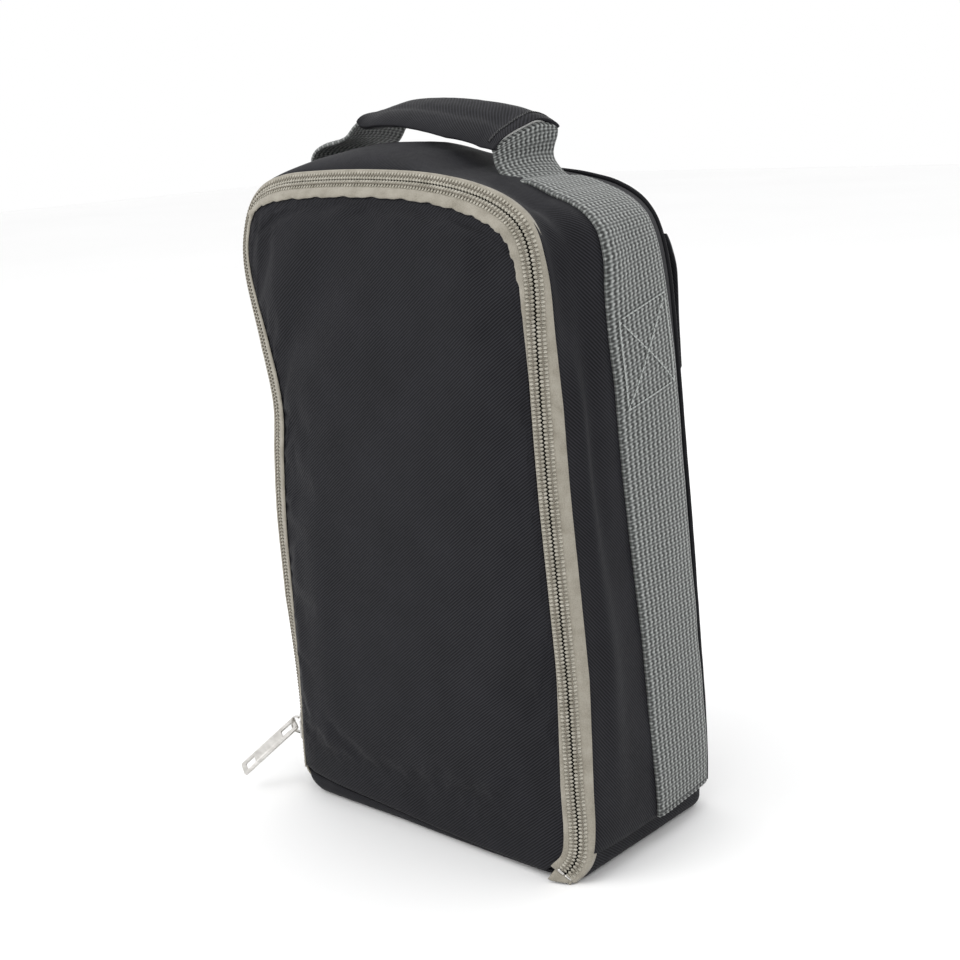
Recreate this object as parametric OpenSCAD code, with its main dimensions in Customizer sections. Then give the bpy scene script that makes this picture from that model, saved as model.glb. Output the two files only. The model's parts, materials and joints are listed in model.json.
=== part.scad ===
// Golf shoe bag: an upright zipped bag for one pair of shoes.
// X runs across the bag, -Y is the zipped front, +Z is up.
// The origin is the middle of the underside.

/* [Bag] */
// Width across the base
base_w = 200; // [190:1:210]
// Width where the sides start to round over
top_w = 184; // [176:1:188]
// Depth from the front panel to the back seam
bag_d = 108; // [104:1:114]
// Height of the front and back panels
panel_h = 336; // [326:1:340]
// Height of the crown of the top, behind the zip
crown_h = 350; // [345:1:352]
// Height where the sides start to round over
shoulder_z = 244; // [238:1:250]
// Radius of the bottom corners
corner_r = 14; // [12:1:16]

/* [Webbing and handle] */
// Width of the webbing
web_w = 50; // [40:1:50]
// Thickness of the webbing
web_t = 1.75; // [1.5:0.05:1.9]
// Height of the top of the grip
grip_top = 373; // [372:1:380]
// Half of the grip's length
grip_half = 51; // [48:1:56]
// Sideways place of the grip, which has slid along its slack
grip_x = -17; // [-20:1:-10]

/* [Zip] */
// Width of one coil
coil_w = 3; // [2.6:0.1:3]
// Thickness of one coil
coil_t = 1.6; // [1.4:0.1:1.6]
// Gap between the two coils
coil_gap = 2; // [2:0.1:2.2]
// Height of the slider when the zip is shut
slider_z = 37; // [34:1:44]
// Length of the slider
slider_l = 14; // [12:1:15]
// Length of the pull tab
pull_l = 40; // [30:1:40]
// Width of the pull tab
pull_w = 8.6; // [8:0.1:9]
// Angle at which the pull tab stands below level
pull_drop = 38; // [30:1:42]
// Angle by which the pull tab is turned towards the front
pull_turn = 42; // [36:1:45]

/* [Back pocket] */
// Clear depth of the pocket
pocket_gap = 6; // [5:0.5:7]
// Height of the pocket's mouth
pocket_top = 262; // [240:1:264]
// Height of the flap's hem
flap_low = 222; // [200:1:226]
// Height of the flap's sewn edge
flap_high = 299; // [290:1:300]
// Width of the flap
flap_w = 172; // [150:1:174]

/* [Hidden] */

// Colours
twill = [0.17, 0.17, 0.19];
lining_grey = [0.30, 0.30, 0.32];
foam_grey = [0.75, 0.75, 0.74];
web_grey = [0.58, 0.60, 0.58];
cream = [0.75, 0.72, 0.66];
nickel = [0.80, 0.79, 0.77];
thread_grey = [0.70, 0.72, 0.70];

// Sizes shared by several pieces
big = 600;                        // larger than the bag
fabric_t = 2;                     // padded gusset fabric
panel_t = 1.2;                    // front and back fabric
foam_t = 2.4;                     // front panel foam
lining_t = 0.4;                   // panel lining
air = 0.1;                        // room between sewn layers
clear = 0.3;                      // room round the slider
tape_t = 0.8;                     // zip tape
band_top = 14;                    // top of the base band
lip_top = 7;                      // top of the band under the front panel
zip_low = 16;                     // lower end of the zip
end_h = 4;                        // height of a zip stop
front_y = -bag_d / 2;
back_y = bag_d / 2;
front_in = front_y + panel_t;     // inner face of the front fabric
chain_y = front_y + 9;            // middle of the zip
slider_half = coil_gap / 2 + coil_w + 0.4;
gusset_y = chain_y + slider_half + 0.4;
tape_end_y = gusset_y + 6;
chain_in = 0.8;                   // how far the coils lie inside the bag's side
coil_in = chain_in + coil_t;
tape_in = coil_in + tape_t;
lining_in = tape_in + air;
lining_far = lining_in + 0.6;
crown_from = -8;                  // the crown is level between these two
crown_to = 34;
curve = 3.8;                      // exponent of the rounded shoulders
taper = atan((base_w - top_w) / 2 / shoulder_z);

// Half of the bag's width at height z
function side_x(z) = base_w / 2 - (base_w - top_w) / 2 * z / shoulder_z;

// The rounded top, from the right side over to the left; it goes on narrowing as
// the sides do, so that the outline stays convex
function top_points(half, rise) = [
    for (i = [0:24])
        let (
            t = 7.5 * i,
            c = cos(t),
            z = rise * pow(abs(sin(t)), 2 / curve),
            narrow = (base_w - top_w) / 2 * z / shoulder_z
        )
        [sign(c) * (half - narrow) * pow(abs(c), 2 / curve), shoulder_z + z]
];

// A bottom corner, from angle a through a quarter turn
function corner_points(side, inset, a) = [
    for (i = [0:4])
        let (t = a + 22.5 * i, r = corner_r - inset)
        [
            side * (side_x(corner_r) - corner_r) + r * cos(t),
            corner_r + r * sin(t)
        ]
];

// The bag seen from the front, brought in by inset
function outline(inset, top) = concat(
    corner_points(1, inset, -90),
    top_points(top_w / 2 - inset, top - inset - shoulder_z),
    corner_points(-1, inset, 180)
);

// Points across a cubic curve, t from 0 to 1
function bezier(p, t) =
    pow(1 - t, 3) * p[0] + 3 * t * pow(1 - t, 2) * p[1]
    + 3 * t * t * (1 - t) * p[2] + t * t * t * p[3];
function unit(v) = v / norm(v);
function side_step(p, t) =
    let (d = unit(bezier(p, t + 0.01) - bezier(p, t - 0.01)))
    [-d[1], d[0]];

// A slice of the bag between two depths
module slab(y0, y1, inset, top = panel_h) {
    rotate([90, 0, 0])
        translate([0, 0, -y1])
            linear_extrude(y1 - y0)
                polygon(outline(inset, top));
}

// A loop of fabric between two insets
module loop(y0, y1, outer, inner, top = panel_h) {
    difference() {
        slab(y0, y1, outer, top);
        slab(y0 - 1, y1 + 1, inner, top);
    }
}

// Everything between two heights
module between(z0, z1) {
    translate([-big / 2, -big / 2, z0])
        cube([big, big, z1 - z0]);
}

// One side of the bag, x from x0 to x1
module across(x0, x1) {
    translate([x0, -big / 2, 0])
        cube([x1 - x0, big, big]);
}

// The bag's crowned body, brought in by inset
module crowned(y0, y1, inset) {
    hull() {
        slab(y0, y0 + 0.1, inset);
        slab(crown_from, crown_to, inset, crown_h);
        slab(y1 - 0.1, y1, inset);
    }
}

// A strip cut from the YZ plane, with corners given as [y, z]
module side_cut(points) {
    rotate([90, 0, 90])
        translate([0, 0, -big / 2])
            linear_extrude(big)
                polygon(points);
}

// Puts a piece on the zip's left run at height z, with +X facing outwards
module on_left_run(z) {
    mirror([1, 0, 0])
        translate([side_x(z), chain_y, z])
            rotate([0, -taper, 0])
                children();
}

/* Zipped front flap */

module front_panel() {
    color(twill)
        intersection() {
            slab(front_y, front_in, 0);
            between(lip_top + 1, big);
        }
}

module front_foam() {
    color(foam_grey)
        intersection() {
            slab(front_in + air, front_in + air + foam_t, 4);
            between(lip_top + 2, big);
        }
}

module front_lining() {
    lining_y = front_in + 2 * air + foam_t;
    color(lining_grey)
        intersection() {
            slab(lining_y, lining_y + lining_t, 4);
            between(lip_top + 2, big);
        }
}

module flap_zip_tape() {
    color(cream)
        intersection() {
            loop(front_in + air, chain_y - coil_gap / 2 - 0.2, coil_in, tape_in);
            between(zip_low, big);
        }
}

module flap_coil() {
    far = chain_y - coil_gap / 2;
    color(cream)
        intersection() {
            loop(far - coil_w, far, chain_in, coil_in);
            between(zip_low + end_h, big);
        }
}

module flap_zip_stops() {
    far = chain_y - coil_gap / 2;
    color(nickel)
        intersection() {
            loop(far - coil_w, far, chain_in, coil_in);
            between(zip_low, zip_low + end_h);
        }
}

/* Sides, top and the fixed half of the zip */

module gusset() {
    color(twill)
        intersection() {
            difference() {
                crowned(gusset_y, back_y, 0);
                crowned(gusset_y - 1, back_y + 1, fabric_t);
            }
            between(band_top + air, big);
        }
}

module gusset_lining() {
    start = tape_end_y + 0.4;
    stop = back_y - 4.8;
    color(lining_grey)
        intersection() {
            difference() {
                crowned(start, stop, lining_in);
                crowned(start - 1, stop + 1, lining_far);
            }
            between(lip_top, big);
        }
}

module gusset_zip_tape() {
    color(cream)
        intersection() {
            loop(chain_y + coil_gap / 2 + 0.2, tape_end_y, coil_in, tape_in);
            between(zip_low, big);
        }
}

module gusset_coil() {
    near = chain_y + coil_gap / 2;
    color(cream)
        intersection() {
            loop(near, near + coil_w, chain_in, coil_in);
            between(zip_low + end_h, big);
        }
}

module gusset_zip_stops() {
    near = chain_y + coil_gap / 2;
    color(nickel)
        intersection() {
            loop(near, near + coil_w, chain_in, coil_in);
            between(zip_low, zip_low + end_h);
        }
}

// The folded ends of the tape, under the two ends of the zip
module zip_end_tabs() {
    color(cream)
        intersection() {
            loop(chain_y + coil_gap / 2, tape_end_y, coil_in, lining_far);
            between(lip_top + 1, zip_low - air);
        }
}

/* Base */

module base_band() {
    color(twill)
        union() {
            intersection() {
                loop(front_in, back_y, 0, fabric_t);
                between(-1, band_top);
            }
            intersection() {
                slab(front_y, front_in, 0);
                between(-1, lip_top);
            }
        }
}

module base_board() {
    board_w = 168;
    color(foam_grey)
        translate([-board_w / 2, front_y + 6, fabric_t + air])
            cube([board_w, bag_d - 12, 3]);
}

module base_lining() {
    lining_w = 172;
    color(lining_grey)
        translate([-lining_w / 2, front_y + 6, fabric_t + 3 + 2 * air])
            cube([lining_w, bag_d - 12, 0.6]);
}

/* Back */

module back_panel() {
    color(twill)
        slab(back_y + air, back_y + air + panel_t, 0);
}

module back_foam() {
    color(foam_grey)
        intersection() {
            slab(back_y - 4, back_y, 3);
            between(lip_top, big);
        }
}

module back_lining() {
    color(lining_grey)
        intersection() {
            slab(back_y - 4.6, back_y - 4.1, 3);
            between(lip_top, big);
        }
}

// The covered cord in the back seam
module back_piping() {
    color(twill)
        intersection() {
            loop(back_y + air, back_y + 1.6, -1.6, -0.1);
            between(4, big);
        }
}

// The tape that covers the raw edges of the back seam inside
module seam_binding() {
    color(lining_grey)
        intersection() {
            loop(back_y - 8.5, back_y - 4.8, lining_far + air, lining_far + 1);
            between(lip_top, big);
        }
}

/* Pocket on the back */

pocket_y = back_y + 0.2 + panel_t;            // the pocket starts here
pocket_far = pocket_y + pocket_gap;           // inner face of its front
pocket_out = pocket_far + panel_t;            // its outer face

module pocket_panel() {
    color(twill)
        intersection() {
            difference() {
                slab(pocket_y, pocket_out, 1);
                slab(pocket_y - 1, pocket_far, 1 + panel_t);
            }
            between(0, pocket_top);
        }
}

module pocket_hem() {
    color(twill)
        intersection() {
            slab(pocket_out + air, pocket_out + 0.9, 1.4);
            between(pocket_top - 10, pocket_top);
        }
}

module touch_tape(y0, y1) {
    tape_l = 70;
    tape_h = 16;
    translate([-tape_l / 2, y0, flap_low + 6])
        cube([tape_l, y1 - y0, tape_h]);
}

module pocket_loop_tape() {
    color(lining_grey)
        touch_tape(pocket_out + air, pocket_out + 1.3);
}

module pocket_hook_tape() {
    color(lining_grey)
        touch_tape(pocket_out + 1.7, pocket_out + 2.8);
}

// Sewn to the back above the pocket, it folds out over the mouth and hangs down
module pocket_flap() {
    half_t = 0.7;
    hinge = [back_y + 2.4, flap_high];
    bend = [pocket_out + 2.9 + half_t, flap_high - 18];
    lean = unit(bend - hinge);
    out = half_t * [-lean[1], lean[0]];
    color(twill)
        rotate([90, 0, 90])
            translate([0, 0, -flap_w / 2])
                linear_extrude(flap_w)
                    polygon([
                        hinge + out,
                        bend + [half_t, 0.2],
                        [bend[0] + half_t, flap_low],
                        [bend[0] - half_t, flap_low],
                        bend + [-half_t, -0.2],
                        hinge - out
                    ]);
}

/* Webbing */

web_low_y = 28;                   // middle of the webbing at the base band
web_high_y = 14;                  // middle of the webbing under the grip
web_in = -0.35;                   // room between the webbing and the bag

module side_webbing(x0, x1) {
    color(web_grey)
        intersection() {
            loop(-60, 80, web_in - web_t, web_in, crown_h);
            across(x0, x1);
            side_cut([
                [web_low_y - web_w / 2, band_top + 0.5],
                [web_low_y + web_w / 2, band_top + 0.5],
                [web_high_y + web_w / 2, crown_h + 5],
                [web_high_y - web_w / 2, crown_h + 5]
            ]);
        }
}

module side_webbing_right() {
    side_webbing(62, big / 2);
}

module side_webbing_left() {
    side_webbing(-big / 2, -84);
}

// The sewn square with a cross that holds the handle's end to the side
module box_stitch(x0, x1) {
    low = 228;
    high = 271;
    mid_y = 19;
    reach = 20;
    w = 1;
    color(thread_grey)
        intersection() {
            loop(-60, 80, web_in - web_t - 0.8, web_in - web_t - 0.05, crown_h);
            across(x0, x1);
            union() {
                difference() {
                    side_cut([
                        [mid_y - reach, low], [mid_y + reach, low],
                        [mid_y + reach, high], [mid_y - reach, high]
                    ]);
                    side_cut([
                        [mid_y - reach + w, low + w], [mid_y + reach - w, low + w],
                        [mid_y + reach - w, high - w], [mid_y - reach + w, high - w]
                    ]);
                }
                for (s = [-1, 1])
                    side_cut([
                        [mid_y - s * reach, low], [mid_y - s * (reach - w), low],
                        [mid_y + s * reach, high], [mid_y + s * (reach - w), high]
                    ]);
            }
        }
}

module box_stitch_right() {
    box_stitch(0, big / 2);
}

module box_stitch_left() {
    box_stitch(-big / 2, 0);
}

// A band of webbing along a cubic curve in the XZ plane
module web_curve(p) {
    steps = 12;
    color(web_grey)
        translate([0, web_high_y, 0])
            rotate([90, 0, 0])
                translate([0, 0, -web_w / 2])
                    linear_extrude(web_w)
                        polygon(concat(
                            [for (i = [0:steps])
                                bezier(p, i / steps) + side_step(p, i / steps) * web_t / 2],
                            [for (i = [steps:-1:0])
                                bezier(p, i / steps) - side_step(p, i / steps) * web_t / 2]
                        ));
}

/* Handle */

grip_r = 200;                     // radius of the grip's arch
grip_z = grip_top - grip_r;       // height of the arch's centre
grip_low = 8.6;                   // depth of the grip, top to bottom
web_depth = grip_low - 0.9;       // depth of the webbing's under face

// Height of the arch's surface, depth below its top, at x
function arch(x, depth) = grip_z + sqrt(pow(grip_r - depth, 2) - pow(x - grip_x, 2));

// A curved bar along the grip between two depths
module grip_bar(half_l, width, d0, d1) {
    steps = 16;
    translate([0, web_high_y, 0])
        rotate([90, 0, 0])
            translate([0, 0, -width / 2])
                linear_extrude(width)
                    polygon(concat(
                        [for (i = [0:steps])
                            let (x = grip_x - half_l + 2 * half_l * i / steps)
                            [x, arch(x, d0)]],
                        [for (i = [steps:-1:0])
                            let (x = grip_x - half_l + 2 * half_l * i / steps)
                            [x, arch(x, d1)]]
                    ));
}

module grip_sleeve() {
    color(twill)
        difference() {
            grip_bar(grip_half, web_w + 3, 0, grip_low);
            grip_bar(grip_half + 1, web_w + 1, 0.8, grip_low - 0.8);
        }
}

module grip_foam() {
    color(foam_grey)
        grip_bar(grip_half - 4, web_w - 2, 0.9, web_depth - web_t - air);
}

module handle_webbing() {
    color(web_grey)
        grip_bar(grip_half, web_w, web_depth - web_t, web_depth);
}

web_mid = web_depth - web_t / 2;  // middle of the webbing inside the grip
leg_gap = 0.4;                    // room between the grip and each leg

module webbing_leg_right() {
    from = grip_x + grip_half + leg_gap;
    web_curve([
        [from, arch(from, web_mid)],
        [from + 12, arch(from, web_mid) - 3],
        [from + 16, 350.5],
        [61.8, 344.4]
    ]);
}

module webbing_leg_left() {
    from = grip_x - grip_half - leg_gap;
    web_curve([
        [from, arch(from, web_mid)],
        [from - 14, arch(from, web_mid) - 3],
        [-99, 336],
        [-85.3, 321.5]
    ]);
}

/* Slider and pull */

plate_t = 1.2;                            // slider plates
face_x = clear - chain_in + plate_t;      // outer face of the outer plate
pin_r = 0.8;                              // crossbar of the pull tab
pin_x = 5.4;                              // its distance from that face
post_w = coil_gap - 0.8;                  // post between the coils

// Puts a piece on the slider's face, with +X facing outwards and to the front
module on_slider_face() {
    on_left_run(slider_z)
        translate([face_x, 0, 0])
            rotate([0, 0, -pull_turn])
                children();
}

module slider_body() {
    inner_x = -tape_in - clear - plate_t;
    color(nickel)
        on_left_run(slider_z)
            union() {
                translate([face_x - plate_t, -slider_half, -slider_l / 2])
                    cube([plate_t, 2 * slider_half, slider_l]);
                translate([inner_x, -slider_half, -slider_l / 2])
                    cube([plate_t, 2 * slider_half, slider_l]);
                translate([inner_x, -post_w / 2, -slider_l / 2 + 1])
                    cube([face_x - inner_x, post_w, 5]);
            }
}

// The arch on the slider that holds the pull tab
module slider_bridge() {
    bar_t = 1.1;
    bridge_w = 3;
    rise = pin_x + pin_r + 0.35;
    reach = 3;
    color(nickel)
        difference() {
            on_slider_face()
                difference() {
                    translate([-4, -bridge_w / 2, -reach - bar_t])
                        cube([rise + bar_t + 4, bridge_w, 2 * (reach + bar_t)]);
                    translate([-5, -bridge_w, -reach])
                        cube([rise + 5, 2 * bridge_w, 2 * reach]);
                }
            on_left_run(slider_z)
                translate([face_x - 20, -20, -20])
                    cube([20, 40, 40]);
        }
}

// A flat tab with a slot at each end, turning on its crossbar
module pull_tab() {
    tab_t = 1.5;
    slot_w = 4.4;
    near_slot = 9;
    far_slot = 8;
    rim = 2;
    color(nickel)
        on_slider_face()
            translate([pin_x, 0, 0])
                rotate([0, pull_drop, 0])
                    union() {
                        difference() {
                            translate([0, -pull_w / 2, -tab_t / 2])
                                cube([pull_l, pull_w, tab_t]);
                            translate([-1, -slot_w / 2, -tab_t])
                                cube([near_slot + 1, slot_w, 2 * tab_t]);
                            translate([pull_l - far_slot - rim, -slot_w / 2, -tab_t])
                                cube([far_slot, slot_w, 2 * tab_t]);
                        }
                        rotate([90, 0, 0])
                            cylinder(r = pin_r, h = pull_w, center = true, $fn = 24);
                    }
}

front_panel();
front_foam();
front_lining();
flap_zip_tape();
flap_coil();
flap_zip_stops();
gusset();
gusset_lining();
gusset_zip_tape();
gusset_coil();
gusset_zip_stops();
zip_end_tabs();
base_band();
base_board();
base_lining();
back_panel();
back_foam();
back_lining();
back_piping();
seam_binding();
pocket_panel();
pocket_hem();
pocket_loop_tape();
pocket_flap();
pocket_hook_tape();
side_webbing_right();
side_webbing_left();
box_stitch_right();
box_stitch_left();
webbing_leg_right();
webbing_leg_left();
handle_webbing();
grip_foam();
grip_sleeve();
slider_body();
slider_bridge();
pull_tab();
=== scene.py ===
"""Golf shoe bag: cloth, webbing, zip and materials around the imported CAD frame.

Shapes are worked out in millimetres and written to Blender in metres.
X runs across the bag, -Y is the zipped front, +Z is up, as in the CAD model.
"""
import json
import math

import bmesh
import bpy
import numpy as np
from mathutils import Matrix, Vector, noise


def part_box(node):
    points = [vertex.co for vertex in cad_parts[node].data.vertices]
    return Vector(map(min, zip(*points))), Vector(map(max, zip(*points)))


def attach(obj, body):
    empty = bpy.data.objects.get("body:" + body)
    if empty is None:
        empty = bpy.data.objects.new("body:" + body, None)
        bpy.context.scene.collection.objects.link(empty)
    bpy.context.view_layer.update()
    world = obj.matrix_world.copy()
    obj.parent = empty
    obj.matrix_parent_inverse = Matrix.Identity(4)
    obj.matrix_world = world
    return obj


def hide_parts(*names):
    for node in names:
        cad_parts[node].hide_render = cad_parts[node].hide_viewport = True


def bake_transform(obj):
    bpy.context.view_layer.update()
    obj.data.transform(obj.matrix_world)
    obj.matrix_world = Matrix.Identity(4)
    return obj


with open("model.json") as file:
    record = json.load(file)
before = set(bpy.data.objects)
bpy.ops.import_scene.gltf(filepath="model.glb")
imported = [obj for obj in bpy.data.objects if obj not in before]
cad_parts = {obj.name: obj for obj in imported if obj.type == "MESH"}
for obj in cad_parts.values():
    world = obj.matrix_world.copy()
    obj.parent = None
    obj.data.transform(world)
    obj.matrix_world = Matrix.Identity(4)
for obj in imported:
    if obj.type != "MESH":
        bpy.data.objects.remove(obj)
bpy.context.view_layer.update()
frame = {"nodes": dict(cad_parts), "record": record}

MM = 0.001
UP = np.array([0.0, 0.0, 1.0])
BACK = np.array([0.0, 1.0, 0.0])

# ---------------------------------------------------------------- camera

CAMERA_AT = (532.4, -619.6, 369.4)      # mm
CAMERA_YAW = math.radians(40.6)
CAMERA_PITCH = math.radians(13.2)
CAMERA_ROLL = math.radians(-3.3)
LENS = 60.3
SENSOR = 36.0


def placement(right, top, back, at):
    """A world matrix from three axes and a place in metres."""
    matrix = Matrix.Identity(4)
    for row in range(3):
        for column, axis in enumerate((right, top, back, at)):
            matrix[row][column] = axis[row]
    return matrix


def link(name, data):
    piece = bpy.data.objects.new(name, data)
    bpy.context.scene.collection.objects.link(piece)
    return piece


def make_camera():
    """Looks at the bag's front and right side, slightly from above."""
    cos_p, sin_p = math.cos(CAMERA_PITCH), math.sin(CAMERA_PITCH)
    ahead = np.array([-math.sin(CAMERA_YAW) * cos_p, math.cos(CAMERA_YAW) * cos_p, -sin_p])
    level = np.array([math.cos(CAMERA_YAW), math.sin(CAMERA_YAW), 0.0])
    upward = np.cross(level, ahead)
    right = level * math.cos(CAMERA_ROLL) + upward * math.sin(CAMERA_ROLL)
    top = -level * math.sin(CAMERA_ROLL) + upward * math.cos(CAMERA_ROLL)
    data = bpy.data.cameras.new("camera")
    data.lens = LENS
    data.sensor_width = SENSOR
    camera = link("camera", data)
    camera.matrix_world = placement(right, top, -ahead, np.array(CAMERA_AT) * MM)
    bpy.context.scene.camera = camera


make_camera()

# ---------------------------------------------------------------- numbers


def unit(v):
    v = np.asarray(v, float)
    return v / np.maximum(np.linalg.norm(v, axis=-1, keepdims=True), 1e-9)


def ease(a, b, x):
    """0 below a, 1 above b, smooth between."""
    t = np.clip((np.asarray(x, float) - a) / (b - a), 0, 1)
    return t * t * (3 - 2 * t)


def hill(x, centre, width):
    return np.exp(-(((np.asarray(x, float) - centre) / width) ** 2))


def fine(points, scale, seed):
    """Smooth noise from -1 to 1 at each point, with features about scale mm long."""
    flat = np.asarray(points, float).reshape(-1, 3) / scale + seed * 17.3
    return np.array([noise.noise(p) for p in flat]).reshape(np.shape(points)[:-1])


class Spline:
    """A Catmull-Rom curve through rows of numbers; whole values of t are the rows."""

    def __init__(self, rows):
        self.rows = np.array(rows, float)
        self.last = len(rows) - 1

    def __call__(self, t):
        t = np.asarray(t, float)
        i = np.clip(np.floor(t).astype(int), 0, self.last - 1)
        f = (t - i).reshape(np.shape(t) + (1,) * (self.rows.ndim - 1))
        a = self.rows[np.maximum(i - 1, 0)]
        b = self.rows[i]
        c = self.rows[i + 1]
        d = self.rows[np.minimum(i + 2, self.last)]
        return 0.5 * (
            2 * b + (c - a) * f + (2 * a - 5 * b + 4 * c - d) * f**2
            + (3 * b - a - 3 * c + d) * f**3
        )


def knots(t, pairs):
    """A value that runs through (t, value) pairs."""
    at, value = zip(*pairs)
    return np.interp(t, at, value)


def bezier(a, b, c, d, f):
    """Points on a cubic curve; f adds a last axis to the points' shape."""
    f = np.asarray(f, float)[..., None]
    return a * (1 - f) ** 3 + 3 * b * f * (1 - f) ** 2 + 3 * c * f**2 * (1 - f) + d * f**3


def distances(line):
    """How far each point of a line lies along it."""
    return np.concatenate([[0], np.cumsum(np.linalg.norm(np.diff(line, axis=0), axis=1))])


def follow(rows, run, at):
    """Rows of three numbers, known at the distances run, taken at the distances at."""
    return np.stack([np.interp(at, run, rows[:, i]) for i in range(3)], -1)


def smooth(mesh):
    mesh.polygons.foreach_set("use_smooth", [True] * len(mesh.polygons))


# ---------------------------------------------------------------- meshes


def build(name, vertices, faces, uvs=None):
    """A smooth-shaded mesh from points in mm; uvs holds one (u, v) a vertex, in mm."""
    mesh = bpy.data.meshes.new(name)
    mesh.from_pydata((np.asarray(vertices) * MM).tolist(), [], faces)
    if uvs is not None:
        layer = mesh.uv_layers.new(name="weave")
        corners = np.empty(len(mesh.loops), int)
        mesh.loops.foreach_get("vertex_index", corners)
        layer.data.foreach_set("uv", np.asarray(uvs, float)[corners].ravel())
    smooth(mesh)
    mesh.update()
    return link(name, mesh)


def grid_faces(rows, columns, round_columns=False):
    faces = []
    for i in range(rows - 1):
        for j in range(columns if round_columns else columns - 1):
            here, below, beside = i * columns, (i + 1) * columns, (j + 1) % columns
            faces.append((here + j, here + beside, below + beside, below + j))
    return faces


def grid_normals(points):
    along = np.gradient(points, axis=0)
    over = np.gradient(points, axis=1)
    return unit(np.cross(along, over))


def grid_lengths(points):
    """How far each point lies along its column and along its row, in mm."""
    down = np.linalg.norm(np.diff(points, axis=0), axis=-1)
    over = np.linalg.norm(np.diff(points, axis=1), axis=-1)
    u = np.vstack([np.zeros(points.shape[1]), np.cumsum(down, axis=0)])
    v = np.hstack([np.zeros((points.shape[0], 1)), np.cumsum(over, axis=1)])
    return u.mean(axis=1, keepdims=True) + 0 * u, v - v[:, -1:] / 2


def cloth(name, points, thick, flip=False, normals=None, uv=None):
    """A sheet with thickness from a grid of points on its outer face."""
    rows, columns = points.shape[:2]
    normal = grid_normals(points) if normals is None else normals
    if flip:
        normal = -normal
    inner = points - normal * thick
    u, v = grid_lengths(points) if uv is None else uv
    outer_uv = np.stack([u, v], -1).reshape(-1, 2)
    vertices = np.vstack([points.reshape(-1, 3), inner.reshape(-1, 3)])
    count = rows * columns
    front = grid_faces(rows, columns)
    back = [tuple(reversed([c + count for c in f])) for f in front]
    edge = (
        [j for j in range(columns)]
        + [i * columns + columns - 1 for i in range(1, rows)]
        + [(rows - 1) * columns + j for j in range(columns - 2, -1, -1)]
        + [i * columns for i in range(rows - 2, 0, -1)]
    )
    rim = []
    for k, a in enumerate(edge):
        b = edge[(k + 1) % len(edge)]
        rim.append((b, a, a + count, b + count))
    faces = front + back + rim
    if flip:
        faces = [tuple(reversed(f)) for f in faces]
    return build(name, vertices, faces, np.vstack([outer_uv, outer_uv]))


def frames_along(path):
    """Tangents of a path of points."""
    return unit(np.gradient(path, axis=0))


def tube(name, path, side_a, side_b, radius_a, radius_b, sides=8):
    """A tube with an oval section; side_a and side_b point along its two half-widths."""
    angle = np.arange(sides) * 2 * math.pi / sides
    ring = (
        path[:, None]
        + side_a[:, None] * np.cos(angle)[None, :, None] * np.reshape(radius_a, (-1, 1, 1))
        + side_b[:, None] * np.sin(angle)[None, :, None] * np.reshape(radius_b, (-1, 1, 1))
    )
    count = len(path)
    faces = grid_faces(count, sides, True)
    faces.append(tuple(range(sides)))
    faces.append(tuple(reversed(range((count - 1) * sides, count * sides))))
    vertices = ring.reshape(-1, 3)
    run = distances(path)
    uvs = np.stack(np.broadcast_arrays(run[:, None], angle[None, :] * 2), -1).reshape(-1, 2)
    return build(name, vertices, [tuple(reversed(f)) for f in faces], uvs)


def cord(name, path, radius, sides=8):
    """A round cord along a path."""
    tangent = frames_along(path)
    guide = np.where(np.abs(tangent[:, 1:2]) > 0.9, UP, BACK)
    side = unit(np.cross(tangent, guide))
    return tube(name, path, side, np.cross(tangent, side), radius, radius, sides)


def join(name, parts):
    """One mesh out of several; each keeps its UVs."""
    vertices, faces, uvs, start = [], [], [], 0
    for mesh in [p.data for p in parts]:
        co = np.empty(len(mesh.vertices) * 3)
        mesh.vertices.foreach_get("co", co)
        vertices.append(co.reshape(-1, 3) / MM)
        faces += [tuple(start + i for i in p.vertices) for p in mesh.polygons]
        flat = np.zeros((len(mesh.vertices), 2))
        if mesh.uv_layers:
            uv = np.empty(len(mesh.loops) * 2)
            mesh.uv_layers[0].data.foreach_get("uv", uv)
            corner = np.empty(len(mesh.loops), int)
            mesh.loops.foreach_get("vertex_index", corner)
            flat[corner] = uv.reshape(-1, 2)
        uvs.append(flat)
        start += len(mesh.vertices)
    for p in parts:
        mesh = p.data
        bpy.data.objects.remove(p)
        bpy.data.meshes.remove(mesh)
    return build(name, np.vstack(vertices), faces, np.vstack(uvs))


# ---------------------------------------------------------------- the bag's form

# The zip's line, from its lower left end over the top to its lower right end, and
# the back seam's matching line: front x, front z, back x, back z. The last row is the
# zip's turned-under end, which the sides don't follow.
STATIONS = [
    (-98, 15, -98.5, 14), (-98, 37, -98, 37), (-96.3, 67, -96.5, 67), (-95.6, 113, -94, 113),
    (-96.4, 158, -91.5, 158), (-94.2, 192, -89, 200), (-91.5, 220, -88, 236),
    (-97, 252, -87, 262), (-106, 290, -85, 286), (-104.5, 312, -80, 304),
    (-96, 327, -71, 318), (-79, 334, -58, 327), (-50, 336, -38, 332),
    (-15, 336, -10, 334), (20, 334, 20, 333), (48, 329, 42, 330), (68, 321, 60, 325),
    (79, 310, 74, 316), (83.2, 291, 82, 302), (83.6, 263, 86.5, 280), (84.4, 231, 89, 250),
    (86.2, 190, 92, 200), (89, 150, 95, 150), (92.4, 100, 97.5, 100), (95.3, 50, 100, 50),
    (97.8, 17, 100, 14), (92, 4.6, 98, 5),
]
LAST = len(STATIONS) - 2         # the lower right end of the sides and the back
ZIP_END = LAST + 1
SEAM_Y = 54.0
COIL_REACH = 4.5                 # from the zip's middle to a coil's outer edge
COIL_PITCH = 1.9                 # from one tooth to the next
COIL_STEPS = 14                  # points in one turn of a coil
TAPE_STEP = 1.6                  # from one row of the tape's points to the next
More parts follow.
